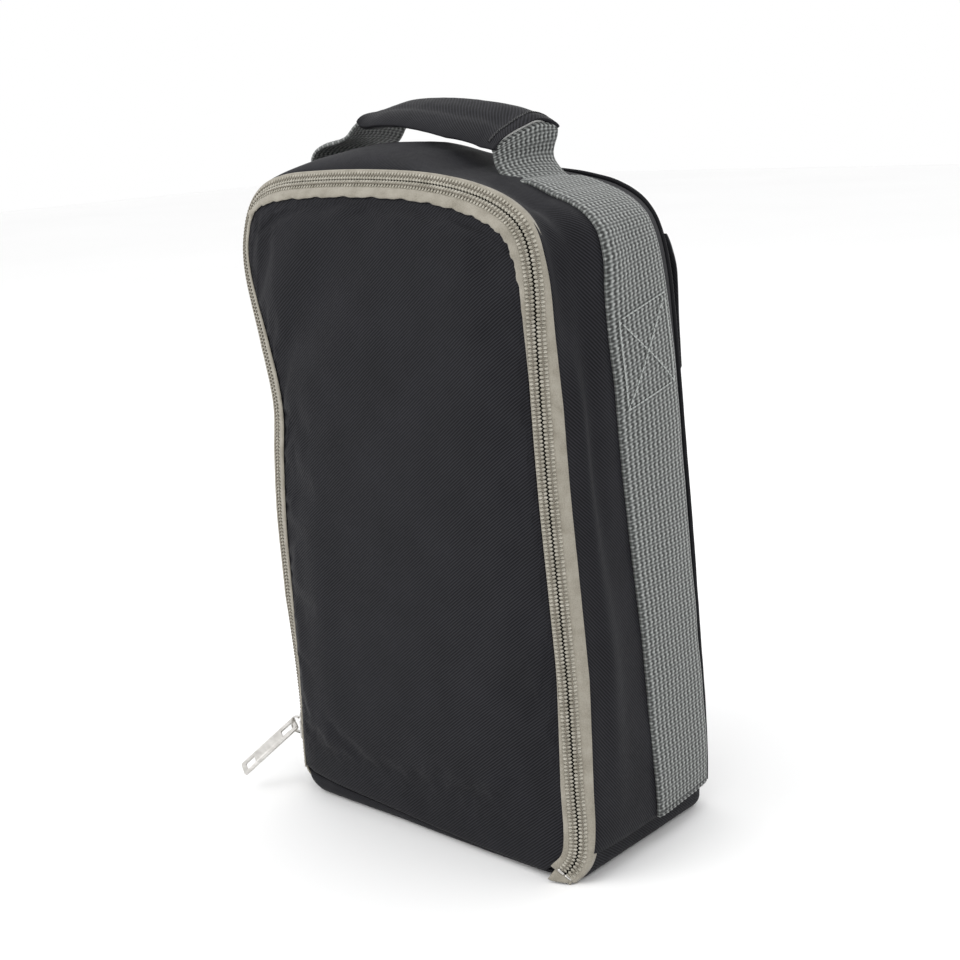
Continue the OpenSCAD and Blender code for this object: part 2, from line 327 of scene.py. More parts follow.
ZIP_SIDES = ((1, "front_flap", "flap"), (-1, "bag", "gusset"))
rails = Spline(STATIONS)


def zip_middle(t):
    at = rails(t)
    y = knots(t, [
        (0, -47), (1.2, -47.3), (2.2, -49.5), (3, -52), (7, -52.5), (9, -51), (11, -50),
        (23, -51.5), (24.5, -54.5), (25.2, -57), (26, -60.5),
    ])
    return np.stack([at[..., 0], y + 0 * at[..., 0], at[..., 1]], -1)


def back_seam(t):
    at = rails(t)
    return np.stack([at[..., 2], SEAM_Y + 0 * at[..., 2], at[..., 3]], -1)


def zip_frame(t):
    """Tangent, outward normal and the direction towards the front panel."""
    step = 0.02
    tangent = unit(
        zip_middle(np.minimum(t + step, ZIP_END)) - zip_middle(np.maximum(t - step, 0))
    )
    flat = tangent * [1, 0, 1]
    outward = unit(np.stack([-flat[..., 2], 0 * flat[..., 0], flat[..., 0]], -1))
    lean = np.radians(knots(t, [
        (0, 40), (1.2, 44), (3, 62), (7, 62), (10, 50), (13, 47), (24, 45), (26, 72),
    ]))
    normal = outward * np.cos(lean)[..., None] - BACK * np.sin(lean)[..., None]
    normal = unit(normal - tangent * np.sum(normal * tangent, -1, keepdims=True))
    inward = np.cross(tangent, normal)
    return tangent, normal, inward


def panel_tape(t):
    """How much tape shows between the coil and the front panel."""
    width = knots(t, [
        (0, 2.6), (1.6, 3.0), (2.4, 1.4), (3.2, 2.6), (4.2, 5.0), (6.5, 4.6), (7.5, 2.6),
        (8.5, 2.6), (9.5, 3.6), (11, 5.2), (15, 5.0), (16.4, 4.0), (17.4, 3.0), (19, 0.2),
        (19.6, -0.6), (22.8, -0.6), (24, 1.4), (26, 2.6),
    ])
    gather = 0.35 * np.sin(t * 11.3) + 0.25 * np.sin(t * 23.1 + 1)
    return width + gather * ease(8.5, 10, t) * (1 - ease(17.5, 19, t))


def gusset_tape(t):
    """How much tape shows between the coil and the gusset."""
    return knots(t, [
        (0, 2.6), (9, 2.4), (11, 1.6), (15, 1.2), (17.5, 1.4), (19, 3.6), (20, 5.2),
        (23, 5.6), (24, 4.2), (25, 2.6), (26, 0.8),
    ])


def panel_edge(t):
    """The front panel's raw edge, which lies under the tape."""
    _, normal, inward = zip_frame(t)
    reach = COIL_REACH + np.maximum(panel_tape(t), 0.2) - 1.0
    return zip_middle(t) + inward * reach[..., None] - normal * 0.9


def gusset_edge(t):
    _, _, inward = zip_frame(t)
    return zip_middle(t) - inward * (COIL_REACH + gusset_tape(t))[..., None]


def even_steps(curve, start, stop, step):
    """Values of t that cut a curve into equal lengths of about step mm."""
    t = np.linspace(start, stop, 1500)
    run = distances(curve(t))
    count = max(2, int(round(run[-1] / step)) + 1)
    return np.interp(np.linspace(0, run[-1], count), run, t)


def gusset_folds(t, v):
    """Soft folds of the gusset, in mm outwards; v runs from the zip to the back seam."""
    right = ease(14.5, 17, t)
    fold = 2.8 * hill(v, 0.15 + 0.02 * (t - 18), 0.07)
    fold *= ease(18.6, 20.2, t) * (1 - ease(22.5, 25, t))
    fold -= 3.4 * right * hill(v, 0.31 - 0.010 * (t - 18), 0.06) * (1 - ease(20.5, 23, t))
    fold -= 5.0 * hill(t, 17.9, 1.5) * hill(v, 0.19, 0.09)
    fold += 3.0 * hill(t, 17.9, 1.0) * hill(v, 0.45, 0.12)
    fold -= 3.0 * hill(t, 15.6, 1.0) * hill(v, 0.34, 0.12)
    left = 1 - ease(8.5, 10, t)
    fold += 1.8 * left * hill(v, 0.24, 0.08) - 1.8 * left * hill(v, 0.38, 0.06)
    fold += 1.5 * hill(t, 9.0, 1.0) * hill(v, 0.34, 0.12)
    top = ease(10.5, 12, t) * (1 - ease(15, 16.5, t))
    fold += top * 0.9 * np.sin(t * 2.1 + 3 * v) * hill(v, 0.4, 0.35)
    return fold


def gusset_skin(t, v):
    """A point on the bag's side or top; v runs from the zip, 0, to the back seam, 1."""
    t, v = np.broadcast_arrays(np.asarray(t, float), np.asarray(v, float))
    start, stop = gusset_edge(t), back_seam(t)
    _, _, inward = zip_frame(t)
    step = 0.03
    seam_run = unit(
        back_seam(np.minimum(t + step, LAST)) - back_seam(np.maximum(t - step, 0))
    )
    outward = np.stack([-seam_run[..., 2], 0 * seam_run[..., 0], seam_run[..., 0]], -1)
    near = knots(t, [
        (0, 7), (7, 6), (10.2, 5), (10.9, 12), (11.5, 19), (12, 21), (13, 23), (13.5, 18),
        (14, 5), (14.5, 1), (15, -1), (16, -1), (16.7, 3), (17.5, 9), (20, 8), (25, 7),
    ])
    swell = knots(t, [
        (0, 3), (2, 6), (4, 9), (7, 10), (9, 9), (10, 9), (10.9, 14), (12, 21), (13, 23),
        (13.5, 16), (14, 6), (14.5, 2), (15, 0), (16, 1), (16.7, 5), (17.5, 12), (19, 11),
        (21, 8), (23, 4.5), (25, 3),
    ])
    reach = knots(t, [(0, 16), (8, 18), (12, 38), (15, 38), (18, 20), (25, 16)])
    second = start - inward * near[..., None]
    third = stop + outward * swell[..., None] - BACK * reach[..., None]
    point = bezier(start, second, third, stop, v)
    ends = ease(0, 0.08, v) * (1 - ease(0.93, 1, v))
    drawn = hill(v, 0, 0.02) * -0.9 + hill(v, 1, 0.02) * -0.9
    return point + outward * (gusset_folds(t, v) * ends + drawn)[..., None]


# ---------------------------------------------------------------- materials


class Paint:
    """A Principled material and short ways to wire nodes into it."""

    def __init__(self, name, roughness, metallic=0.0, sheen=0.0, specular=0.5):
        self.material = bpy.data.materials.new(name)
        self.material.use_nodes = True
        self.tree = self.material.node_tree
        self.shader = self.tree.nodes["Principled BSDF"]
        self.shader.inputs["Roughness"].default_value = roughness
        self.shader.inputs["Metallic"].default_value = metallic
        self.shader.inputs["Sheen Weight"].default_value = sheen
        self.shader.inputs["Sheen Roughness"].default_value = 0.45
        self.shader.inputs["Specular IOR Level"].default_value = specular

    def node(self, kind, inputs=None, **settings):
        made = self.tree.nodes.new(kind)
        for key, value in settings.items():
            setattr(made, key, value)
        for key, value in (inputs or {}).items():
            if isinstance(value, bpy.types.NodeSocket):
                self.tree.links.new(value, made.inputs[key])
            else:
                made.inputs[key].default_value = value
        return made

    def math(self, operation, a, b=0.0, c=0.0):
        made = self.node("ShaderNodeMath", {0: a, 1: b, 2: c}, operation=operation)
        return made.outputs[0]

    def uv(self):
        split = self.node(
            "ShaderNodeSeparateXYZ", {0: self.node("ShaderNodeTexCoord").outputs["UV"]}
        )
        return split.outputs[0], split.outputs[1]

    def place(self, mapped="UV"):
        return self.node("ShaderNodeTexCoord").outputs[mapped]

    def mottle(self, where, scale, detail=3.0, rough=0.55):
        made = self.node(
            "ShaderNodeTexNoise",
            {"Vector": where, "Scale": scale, "Detail": detail, "Roughness": rough},
        )
        return made.outputs["Fac"]

    def ramp(self, value, stops):
        made = self.node("ShaderNodeValToRGB", {"Fac": value})
        ramp = made.color_ramp
        while len(ramp.elements) < len(stops):
            ramp.elements.new(0.5)
        for element, (at, colour) in zip(ramp.elements, stops):
            element.position = at
            element.color = (*colour, 1)
        return made.outputs["Color"]

    def colour(self, socket):
        self.tree.links.new(socket, self.shader.inputs["Base Color"])

    def bump(self, height, strength, distance):
        made = self.node(
            "ShaderNodeBump",
            {"Height": height, "Strength": strength, "Distance": distance},
        )
        self.tree.links.new(made.outputs[0], self.shader.inputs["Normal"])

    def rough(self, value, low, high):
        made = self.node(
            "ShaderNodeMapRange", {"Value": value, "To Min": low, "To Max": high}
        )
        self.tree.links.new(made.outputs[0], self.shader.inputs["Roughness"])


def wave(paint, value, period):
    """A sine of a length in mm, from -1 to 1."""
    return paint.math("SINE", paint.math("MULTIPLY", value, 2 * math.pi / period))


def twill_cloth(name, dark, light, rib=1.6):
    """Polyester twill: fine diagonal ribs, woven threads across them, soft wear. The ribs' crests are
    painted lighter and their grooves darker, as painted highlight and painted shade.
    """
    paint = Paint(name, 0.62, sheen=0.015, specular=0.13)
    u, v = paint.uv()
    diagonal = paint.math("ADD", paint.math("MULTIPLY", u, TWILL_SLOPE), v)
    ribs = wave(paint, diagonal, rib)
    across = wave(paint, paint.math("ADD", u, v), rib * 0.62)
    crest = paint.math("POWER", paint.math("MULTIPLY_ADD", ribs, 0.5, 0.5), 1.7)
    weave = paint.math("ADD", crest, paint.math("MULTIPLY", across, 0.18))
    where = paint.place()
    cloudy = paint.mottle(where, 0.035, 4.0)
    patchy = paint.mottle(where, 0.35, 3.0)
    height = paint.math("ADD", weave, paint.math("MULTIPLY", patchy, 0.8))
    # painted highlight and shade: the weave's height sets the colour, lighter on the rib crests, darker
    # in the grooves
    lift = paint.math("MULTIPLY_ADD", weave, 0.85, 0.05)
    shade = paint.math("ADD", lift, paint.math("MULTIPLY_ADD", cloudy, 0.5, -0.25))
    paint.colour(paint.ramp(shade, [(0.0, dark), (1.0, light)]))
    paint.rough(patchy, 0.52, 0.74)
    paint.bump(height, 0.5, 0.00016)
    return paint.material


def woven_webbing():
    """Coarse polypropylene webbing; its ribs are in the mesh, and the colour follows them as painted
    shade, near black in the weave's hollows, and painted highlight on its knots.
    """
    paint = Paint("webbing", 0.6, sheen=0.1, specular=0.4)
    u, v = paint.uv()
    zigzag = paint.math("PINGPONG", u, WEB_ROW)
    skewed = paint.math("MULTIPLY_ADD", zigzag, WEB_SKEW, v)
    over = paint.math("COSINE", paint.math("MULTIPLY", skewed, 2 * math.pi / WEB_CELL))
    rows = paint.math("COSINE", paint.math("MULTIPLY", u, 2 * math.pi / WEB_ROW))
    deep = paint.math("COSINE", paint.math("MULTIPLY", u, 2 * math.pi / (3 * WEB_ROW)))
    strong = paint.math("MULTIPLY_ADD", deep, 0.22, 0.55)
    knot = paint.math("MULTIPLY_ADD", over, strong, paint.math("MULTIPLY", rows, 0.38))
    strands = wave(paint, v, 0.45)
    where = paint.place()
    patchy = paint.mottle(where, 0.5, 4.0, 0.65)
    shade = paint.math("MULTIPLY_ADD", knot, 0.42, 0.52)
    shade = paint.math("ADD", shade, paint.math("MULTIPLY_ADD", patchy, 0.3, -0.15))
    shade = paint.math("ADD", shade, paint.math("MULTIPLY", strands, 0.05))
    # painted shade and highlight: near black where the weave lies low, light where its knots stand up
    tone = paint.ramp(shade, [
        (0.14, (0.006, 0.0065, 0.006)), (0.38, (0.046, 0.049, 0.0475)),
        (0.62, (0.17, 0.18, 0.174)), (0.92, (0.38, 0.394, 0.383)),
    ])
    paint.colour(tone)
    height = paint.math("ADD", paint.math("MULTIPLY", strands, 0.5), patchy)
    paint.bump(height, 0.5, 0.00012)
    return paint.material


def felt_tape():
    """The zip's cream tape, a soft close weave with a little dirt in it."""
    paint = Paint("zip_tape", 0.85, sheen=0.15, specular=0.25)
    _, v = paint.uv()
    where = paint.place()
    ribs = wave(paint, v, 0.7)
    fibre = paint.mottle(where, 1.6, 4.0, 0.7)
    cloudy = paint.mottle(where, 0.12, 3.0)
    shade = paint.math("MULTIPLY_ADD", fibre, 0.5, paint.math("MULTIPLY", cloudy, 0.5))
    tone = paint.ramp(shade, [
        (0.3, (0.19, 0.172, 0.137)), (0.5, (0.30, 0.278, 0.232)), (0.72, (0.39, 0.365, 0.312)),
    ])
    paint.colour(tone)
    height = paint.math("ADD", fibre, paint.math("MULTIPLY", ribs, 0.25))
    paint.bump(height, 0.6, 0.0002)
    return paint.material


def coil_plastic():
    """Cream nylon coil, dull on top and darker where it has rubbed."""
    paint = Paint("zip_coil", 0.42, specular=0.5)
    where = paint.place("Object")
    patchy = paint.mottle(where, 220.0, 3.0)
    tone = paint.ramp(patchy, [(0.3, (0.31, 0.29, 0.235)), (0.7, (0.50, 0.475, 0.41))])
    paint.colour(tone)
    paint.rough(patchy, 0.35, 0.55)
    return paint.material


def brushed_nickel():
    paint = Paint("nickel", 0.34, metallic=1.0)
    where = paint.node(
        "ShaderNodeMapping", {"Vector": paint.place("Object"), "Scale": (1.0, 1.0, 5.0)}
    ).outputs[0]
    grain = paint.mottle(where, 900.0, 4.0)
    cloudy = paint.mottle(where, 90.0, 2.0)
    tone = paint.ramp(cloudy, [(0.3, (0.50, 0.485, 0.46)), (0.7, (0.68, 0.665, 0.64))])
    paint.colour(tone)
    paint.rough(grain, 0.26, 0.46)
    paint.bump(grain, 0.25, 0.00005)
    return paint.material


def spun_thread(name, dark, light):
    """Twisted sewing thread, painted darker in the grooves of its twist as painted shade."""
    paint = Paint(name, 0.6, sheen=0.15)
    u, v = paint.uv()
    twist = wave(paint, paint.math("ADD", u, paint.math("MULTIPLY", v, 0.3)), 0.7)
    # painted shade: darker in the twist's grooves, where the bump lies low
    shade = paint.math("MULTIPLY_ADD", twist, 0.4, 0.5)
    paint.colour(paint.ramp(shade, [(0.0, dark), (1.0, light)]))
    paint.bump(twist, 0.6, 0.0001)
    return paint.material


def lining_cloth():
    """Thin plain-weave lining, slightly shiny, painted darker where its weave lies low as painted shade.
    """
    paint = Paint("lining", 0.5, sheen=0.1)
    u, v = paint.uv()
    weave = paint.math("MULTIPLY", wave(paint, u, 0.6), wave(paint, v, 0.6))
    cloudy = paint.mottle(paint.place(), 0.05, 4.0)
    # painted shade: the weave's checks lighter and darker with its bump
    shade = paint.math("MULTIPLY_ADD", weave, 0.15, paint.math("MULTIPLY_ADD", cloudy, 0.5, 0.25))
    paint.colour(paint.ramp(shade, [(0.2, (0.035, 0.035, 0.04)), (0.8, (0.10, 0.10, 0.11))]))
    paint.rough(cloudy, 0.42, 0.6)
    paint.bump(weave, 0.4, 0.00008)
    return paint.material


def foam_rubber(name, dark, light):
    """Cut foam or board, with small open cells."""
    paint = Paint(name, 0.9, specular=0.2)
    where = paint.place("Object")
    cells = paint.node("ShaderNodeTexVoronoi", {"Vector": where, "Scale": 900.0}).outputs["Distance"]
    cloudy = paint.mottle(where, 60.0, 3.0)
    paint.colour(paint.ramp(cloudy, [(0.3, dark), (0.7, light)]))
    paint.bump(cells, 0.5, 0.0003)
    return paint.material


def touch_pile():
    """Hook or loop pile: short matt fibres in close rows."""
    paint = Paint("touch_tape", 0.9, sheen=0.3, specular=0.2)
    where = paint.place("Object")
    fibre = paint.mottle(where, 1800.0, 4.0, 0.8)
    rows = paint.node("ShaderNodeTexVoronoi", {"Vector": where, "Scale": 1400.0}).outputs["Distance"]
    paint.colour(paint.ramp(fibre, [(0.3, (0.012, 0.012, 0.013)), (0.75, (0.06, 0.06, 0.065))]))
    paint.bump(rows, 0.8, 0.0005)
    return paint.material


def pale_floor():
    paint = Paint("floor", 0.75, specular=0.2)
    cloudy = paint.mottle(paint.place("Object"), 1.5, 2.0)
    paint.colour(paint.ramp(cloudy, [(0.3, (0.96, 0.96, 0.96)), (0.7, (0.98, 0.98, 0.98))]))
    return paint.material


TWILL_SLOPE = -0.8               # how the twill's ribs lean
WEB_ROW = 1.7                    # one row of the webbing's weave, mm
WEB_CELL = 3.6                   # one repeat across it
WEB_SKEW = 0.55                  # sideways step of a strand from row to row
# TWILL and TRIM: the dark colour is the grooves' painted shade and the light colour the crests' painted
# highlight
TWILL = twill_cloth("black_twill", (0.0030, 0.0030, 0.0038), (0.0250, 0.0250, 0.0305))
TRIM = twill_cloth("black_trim", (0.0035, 0.0035, 0.0045), (0.015, 0.015, 0.0185), rib=1.3)
WEBBING = woven_webbing()
TAPE = felt_tape()
COIL = coil_plastic()
NICKEL = brushed_nickel()
GREY_THREAD = spun_thread("grey_thread", (0.30, 0.32, 0.31), (0.60, 0.63, 0.61))
BLACK_THREAD = spun_thread("black_thread", (0.004, 0.004, 0.005), (0.03, 0.03, 0.034))
# The zip thread's dark brown is partly its own colour and partly painted shade of the valley down the
# coil's middle.
SEAM_THREAD = spun_thread("zip_thread", (0.10, 0.085, 0.065), (0.30, 0.27, 0.215))
LINING = lining_cloth()
FOAM = foam_rubber("foam", (0.42, 0.42, 0.41), (0.52, 0.52, 0.51))
BOARD = foam_rubber("board", (0.30, 0.30, 0.29), (0.40, 0.40, 0.39))
TOUCH = touch_pile()


def dress(piece, material, body, replaces=()):
    """Gives a piece its material, its body and the CAD nodes it stands for."""
    piece.data.materials.clear()
    piece.data.materials.append(material)
    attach(piece, body)
    if replaces:
        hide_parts(*replaces)


# ---------------------------------------------------------------- cloth simulation


DRAPE_FRAMES = 18
DRAPE_PRESSURE = 1.5
DRAPE_SLACK = 0.02               # how much too large the sheet is cut
DRAPE_CAP = 2.2                  # the furthest a point may settle, mm
DRAPE_SINK = 0.3                 # and the furthest inwards, mm


def drape(points, outward, pinned):
    """Settles a pinned sheet as cloth, a little too large for its frame, and caps its moves."""
    rows, columns = points.shape[:2]
    faces = grid_faces(rows, columns)
    middle = (rows // 2, columns // 2)
    if np.dot(grid_normals(points)[middle], outward[middle]) > 0:
        faces = [tuple(reversed(f)) for f in faces]
    sheet = build("draping", points.reshape(-1, 3), faces)
    group = sheet.vertex_groups.new(name="pinned")
    for index, weight in enumerate(np.clip(pinned, 0, 1).ravel()):
        group.add([index], float(weight), "REPLACE")
    modifier = sheet.modifiers.new("cloth", "CLOTH")
    settings = modifier.settings
    settings.quality = 6
    settings.mass = 0.15
    settings.bending_stiffness = 0.15
    settings.vertex_group_mass = "pinned"
    settings.use_pressure = True
    settings.uniform_pressure_force = DRAPE_PRESSURE
    settings.shrink_min = -DRAPE_SLACK
    settings.effector_weights.gravity = 0
    modifier.collision_settings.use_collision = False
    modifier.point_cache.frame_start = 1
    modifier.point_cache.frame_end = DRAPE_FRAMES
    for number in range(1, DRAPE_FRAMES + 1):
        bpy.context.scene.frame_set(number)
    settled = sheet.evaluated_get(bpy.context.evaluated_depsgraph_get()).data
    after = np.empty(len(settled.vertices) * 3)
    settled.vertices.foreach_get("co", after)
    data = sheet.data
    bpy.data.objects.remove(sheet)
    bpy.data.meshes.remove(data)
    bpy.context.scene.frame_set(1)
    move = after.reshape(points.shape) / MM - points
    sunk = np.minimum(0, np.sum(move * outward, -1, keepdims=True) + DRAPE_SINK)
    move = move - outward * sunk
    length = np.linalg.norm(move, axis=-1, keepdims=True)
    return points + move * np.minimum(1, DRAPE_CAP / np.maximum(length, 1e-6))


# ---------------------------------------------------------------- front panel

PANEL_LOW = 8.6                  # usual height of the front panel's hinged edge
TURN_IN = 13.0                   # distance over which the panel turns in at its seam
FOAM_IN = np.array([0.985, 1.0, 0.992])
PANEL_ROWS, PANEL_COLUMNS = 116, 76
WELD = 0.02                      # points closer than this are welded, mm
CROWDING = 0.55                  # how much a grid's steps shorten near its ends
TOP_LEFT, TOP_RIGHT = 10.2, 17.0  # the panel's upper corners, on the zip's scale


def crowded(count):
    """0 to 1 in steps that are shorter near both ends."""
    q = np.linspace(0, 1, count)
    return q - CROWDING * np.sin(2 * math.pi * q) / (2 * math.pi)


def resample(line, at):
    run = distances(line)
    return follow(line, run, at * run[-1])


def span(curve, start, stop):
    """Even points along a curve of t, either way."""
    t = even_steps(curve, min(start, stop), max(start, stop), 1.0)
    return curve(t if start < stop else t[::-1])


def filled(left, right, top, low, rows, columns):
    """A grid that fills four joined sides, and the outline itself."""
    left, right = [resample(line, crowded(rows)) for line in (left, right)]
    top, low = [resample(line, crowded(columns)) for line in (top, low)]
    r, q = crowded(columns)[None, :, None], crowded(rows)[:, None, None]
    across = (1 - r) * left[:, None] + r * right[:, None]
    upright = (1 - q) * low[None] + q * top[None]
    corners = (
        (1 - r) * (1 - q) * left[0] + r * (1 - q) * right[0]
        + (1 - r) * q * left[-1] + r * q * right[-1]
    )
    outline = np.vstack([left, top[1:], right[::-1][1:], low[::-1][1:-1]])
    return across + upright - corners, outline


def panel_grid(rows, columns):
    left, right = span(panel_edge, 0, TOP_LEFT), span(panel_edge, ZIP_END, TOP_RIGHT)
    f = np.linspace(0, 1, 200)
    low = left[0] + (right[0] - left[0]) * f[:, None]
    along = ease(0, 9.0, 190 * np.minimum(f, 1 - f))[:, None]
    x = low[:, 0]
    fall = knots(x, [(-95, 13.5), (-72, 10.2), (-50, 8.6), (-20, 6.6), (8, 5), (35, 4), (90, 3.4)])
    forward = knots(x, [(-95, -51), (-60, -52.6), (-20, -54), (35, -57.6), (75, -59.8), (90, -60)])
    low = low + (np.stack([x, forward, fall], -1) - low) * along
    return filled(left, right, span(panel_edge, TOP_LEFT, TOP_RIGHT), low, rows, columns)


def panel_folds(x, z):
    """Drag lines and hollows of the front panel, in mm towards the front."""
    a = (x + 88) * 0.72 + (z - 236) * -0.69
    b = (x + 88) * 0.69 + (z - 236) * 0.72
    ridge = z - 322 + 0.004 * (x + 30) ** 2
    fold = 1.3 * hill(ridge, 0, 3.2) * hill(x, -52, 26)
    fold -= 1.2 * hill(ridge, 6.5, 4) * hill(x, -50, 28)
    fold -= 2.4 * hill(a, 0, 13) * ease(-20, 10, b) * (1 - ease(60, 110, b))
    fold += 1.8 * hill(a, -24, 13) * ease(-10, 25, b) * (1 - ease(60, 110, b))
    fold += 1.3 * hill(a, 24, 15) * ease(-20, 20, b) * (1 - ease(40, 100, b))
    fold += 1.5 * hill(x, 52, 20) * hill(z, 262, 55) - 1.6 * hill(x, 74, 9) * hill(z, 250, 60)
    fold += 1.1 * hill(z, 45, 26) * hill(x, 40, 45) - 1.0 * hill(z, 88, 24) * hill(x, -20, 60)
    fold += 1.2 * hill(x, -62, 12) * hill(z, 120, 70) - 1.2 * hill(x, -80, 8) * hill(z, 110, 60)
    return fold


def panel_surface(rows, columns, inset=0.0, folds=1.0):
    """The front panel's face: it turns in round its edges and is nearly flat between."""
    grid, outline = panel_grid(rows, columns)
    flat = grid.reshape(-1, 3)
    gap = np.linalg.norm(flat[:, None, [0, 2]] - outline[None, :, [0, 2]], axis=-1)
    away = gap.min(axis=1)
    weight = 1 / (gap + 0.3) ** 3
    edge_y = (weight * outline[None, :, 1]).sum(axis=1) / weight.sum(axis=1)
    turn = np.clip(away / TURN_IN, 0, 1)
    turn = np.sqrt(np.clip(1 - (1 - turn) ** 2.2, 0, 1))
    dome = np.clip(away / 85, 0, 1)
    face_y = -57.0 - 2.4 * (1 - (1 - dome) ** 2)
    low = ease(0, 40, flat[:, 2] - PANEL_LOW)
    foot_y = knots(flat[:, 0], [(-95, -54), (-60, -55.4), (0, -56.4), (40, -59), (80, -61.4)])
    face_y = face_y * low + (1 - low) * foot_y
    y = edge_y + (face_y - edge_y) * turn
    y -= folds * panel_folds(flat[:, 0], flat[:, 2]) * ease(2, 26, away) * (0.3 + 0.7 * low)
    points = flat.copy()
    points[:, 1] = y + inset
    return points.reshape(grid.shape)


def tidy(piece):
    """Welds points that lie together and turns every face outwards."""
    mesh = bmesh.new()
    mesh.from_mesh(piece.data)
    bmesh.ops.remove_doubles(mesh, verts=mesh.verts, dist=WELD * MM)
    bmesh.ops.dissolve_degenerate(mesh, dist=0.002 * MM, edges=mesh.edges)
    bmesh.ops.recalc_face_normals(mesh, faces=mesh.faces)
    mesh.to_mesh(piece.data)
    mesh.free()
    smooth(piece.data)


def edge_share(count):
    """For each of count rows, how far it lies from the nearer end, from 0 to a half."""
    f = np.linspace(0, 1, count)
    return np.minimum(f, 1 - f)


def front_normals(points):
    normal = grid_normals(points)
    return normal if normal[PANEL_ROWS // 2, PANEL_COLUMNS // 2][1] < 0 else -normal


def front_panel():
    points = panel_surface(PANEL_ROWS, PANEL_COLUMNS)
    normal = front_normals(points)
    middle = edge_share(PANEL_ROWS)[:, None]
    points = points + normal * (0.3 * fine(points, 20, 3) * ease(0, 0.06, middle))[..., None]
    uv = (points[..., 0], points[..., 2])
    inside = ease(0.0, 0.07, np.minimum(middle, edge_share(PANEL_COLUMNS)[None, :]))
    points = drape(points, normal, 1 - inside * ease(12, 40, points[..., 2]))
    panel = cloth("front_panel_cloth", points, 1.0, normals=front_normals(points), uv=uv)
    tidy(panel)
    dress(panel, TWILL, "front_flap", ["front_panel"])
    for name, rows, columns, inset, thick, material, slot, node in (
        ("front_panel_foam", 40, 28, 2.0, 2.0, FOAM, "foam", "front_foam"),
        ("front_panel_lining", 50, 36, 4.4, 0.4, LINING, "lining", "front_lining"),
    ):
        face = panel_surface(rows, columns, inset=inset, folds=0.6) * FOAM_IN
        layer = cloth(name, face, thick, normals=np.broadcast_to(-BACK, face.shape))
        dress(layer, material, "front_flap", [node])


# ---------------------------------------------------------------- zip


def tape_rows(side, t):
    """Cross-sections of one tape, from under the coils out past its seam."""
    _, normal, inward = zip_frame(t)
    towards = inward * side
    show = panel_tape(t) if side > 0 else gusset_tape(t)
    narrow = COIL_REACH + np.minimum(show, 0)
    show = np.maximum(show, 0)
    points = [
        zip_middle(t) + towards * (narrow * s)[:, None] + normal * h
        for s, h in ((0.18, -0.75), (0.49, -0.8), (0.8, -0.7), (0.97, -0.35))
    ]
    pucker = 1.5 * hill(t, 9.72, 0.10) * (side > 0)
    wobble = 0.35 * np.sin(t * 17 + 2) + 0.25 * np.sin(t * 31)
    loose = ease(1.5, 4, show)
    for f in np.linspace(0.2, 1, 6):
        plump = (0.5 + 0.35 * wobble * loose) * math.sin(f * math.pi * 0.85) * loose
        plump = plump + pucker * math.sin(f * math.pi * 0.8)
        reach = narrow + show * f
        points.append(zip_middle(t) + towards * reach[:, None] + normal * (plump - 0.1)[:, None])
    reach = narrow + show
    ends = ((0.35, 0.45),) if side > 0 else ((0.5, 1.1), (1.6, 2.6))
    for extra, drop in ends:
        points.append(zip_middle(t) + towards * (reach + extra)[:, None] - normal * drop)
    return np.stack(points, 1)


def coil_half(name, side):
    """One row of zip teeth: a nylon coil flattened to lie on its tape."""
    t = even_steps(zip_middle, 0.12, ZIP_END - 0.1, COIL_PITCH)
    turns = len(t) - 1
    fine_t = np.interp(np.linspace(0, turns, turns * COIL_STEPS + 1), np.arange(turns + 1), t)
    tangent, normal, inward = zip_frame(fine_t)
    phase = np.linspace(0, turns, len(fine_t)) * 2 * math.pi + (0 if side > 0 else math.pi)
    swing = np.cos(phase)
    x = np.sign(swing) * np.abs(swing) ** 0.8 * 1.85
    z = np.sin(phase) * 0.30 + 0.42 * np.abs(swing) ** 2.5 - 0.1
    path = zip_middle(fine_t) + inward * ((2.4 + x) * side)[:, None] + normal * z[:, None]
    path = path + tangent * (swing * 0.25 * COIL_PITCH)[:, None]
    along = frames_along(path)
    a = unit(np.cross(along, tangent))
    return tube(name, path, a, np.cross(along, a), 0.52, 0.54, 6)


def stitch_row(name, path, normal, length=2.2, gap=0.9, radius=0.22):
    """Separate sewn stitches along a path, each a short bowed capsule."""
    run = distances(path)
    parts = []
    for k in range(int(run[-1] / (length + gap))):
        at = np.linspace(0, 1, 7) * length + k * (length + gap)
        points, lift = follow(path, run, at), follow(normal, run, at)
        bow = np.sin(np.linspace(0, 1, 7) * math.pi)
        points = points + unit(lift) * (bow * 0.28 - 0.12)[:, None]
        along = frames_along(points)
        side = unit(np.cross(along, lift))
        size = radius * (0.45 + 0.55 * bow)
        parts.append(tube(f"{name}_{k}", points, side, np.cross(side, along), size, size, 6))
    return join(name, parts)


def back_stitches(name, path, body):
    """Black stitches on the outside of the back."""
    rows = stitch_row(name, path, np.tile(BACK, (len(path), 1)), 2.6, 1.0, 0.2)
    dress(rows, BLACK_THREAD, body)


def zip_pieces():
    t = even_steps(zip_middle, 0, ZIP_END, TAPE_STEP)
    for side, body, name in ZIP_SIDES:
        tape = cloth(f"{name}_tape_cloth", tape_rows(side, t), 0.5, flip=side < 0)
        dress(tape, TAPE, body, [f"{name}_zip_tape"])
    for side, body, name in ZIP_SIDES:
        teeth = coil_half(f"{name}_coil_teeth", side)
        dress(teeth, COIL, body, [f"{name}_coil"])
    t = even_steps(zip_middle, 0.05, ZIP_END - 0.05, 1.5)
    _, normal, inward = zip_frame(t)
    for side, body, name in ZIP_SIDES:
        # dark brown thread in the coil's middle valley, partly painted shade
        path = zip_middle(t) + inward * side * 2.4 + normal * 0.62
        rows = stitch_row(f"{name}_coil_thread", path, normal, 1.65, 0.25, 0.5)
        dress(rows, SEAM_THREAD, body)


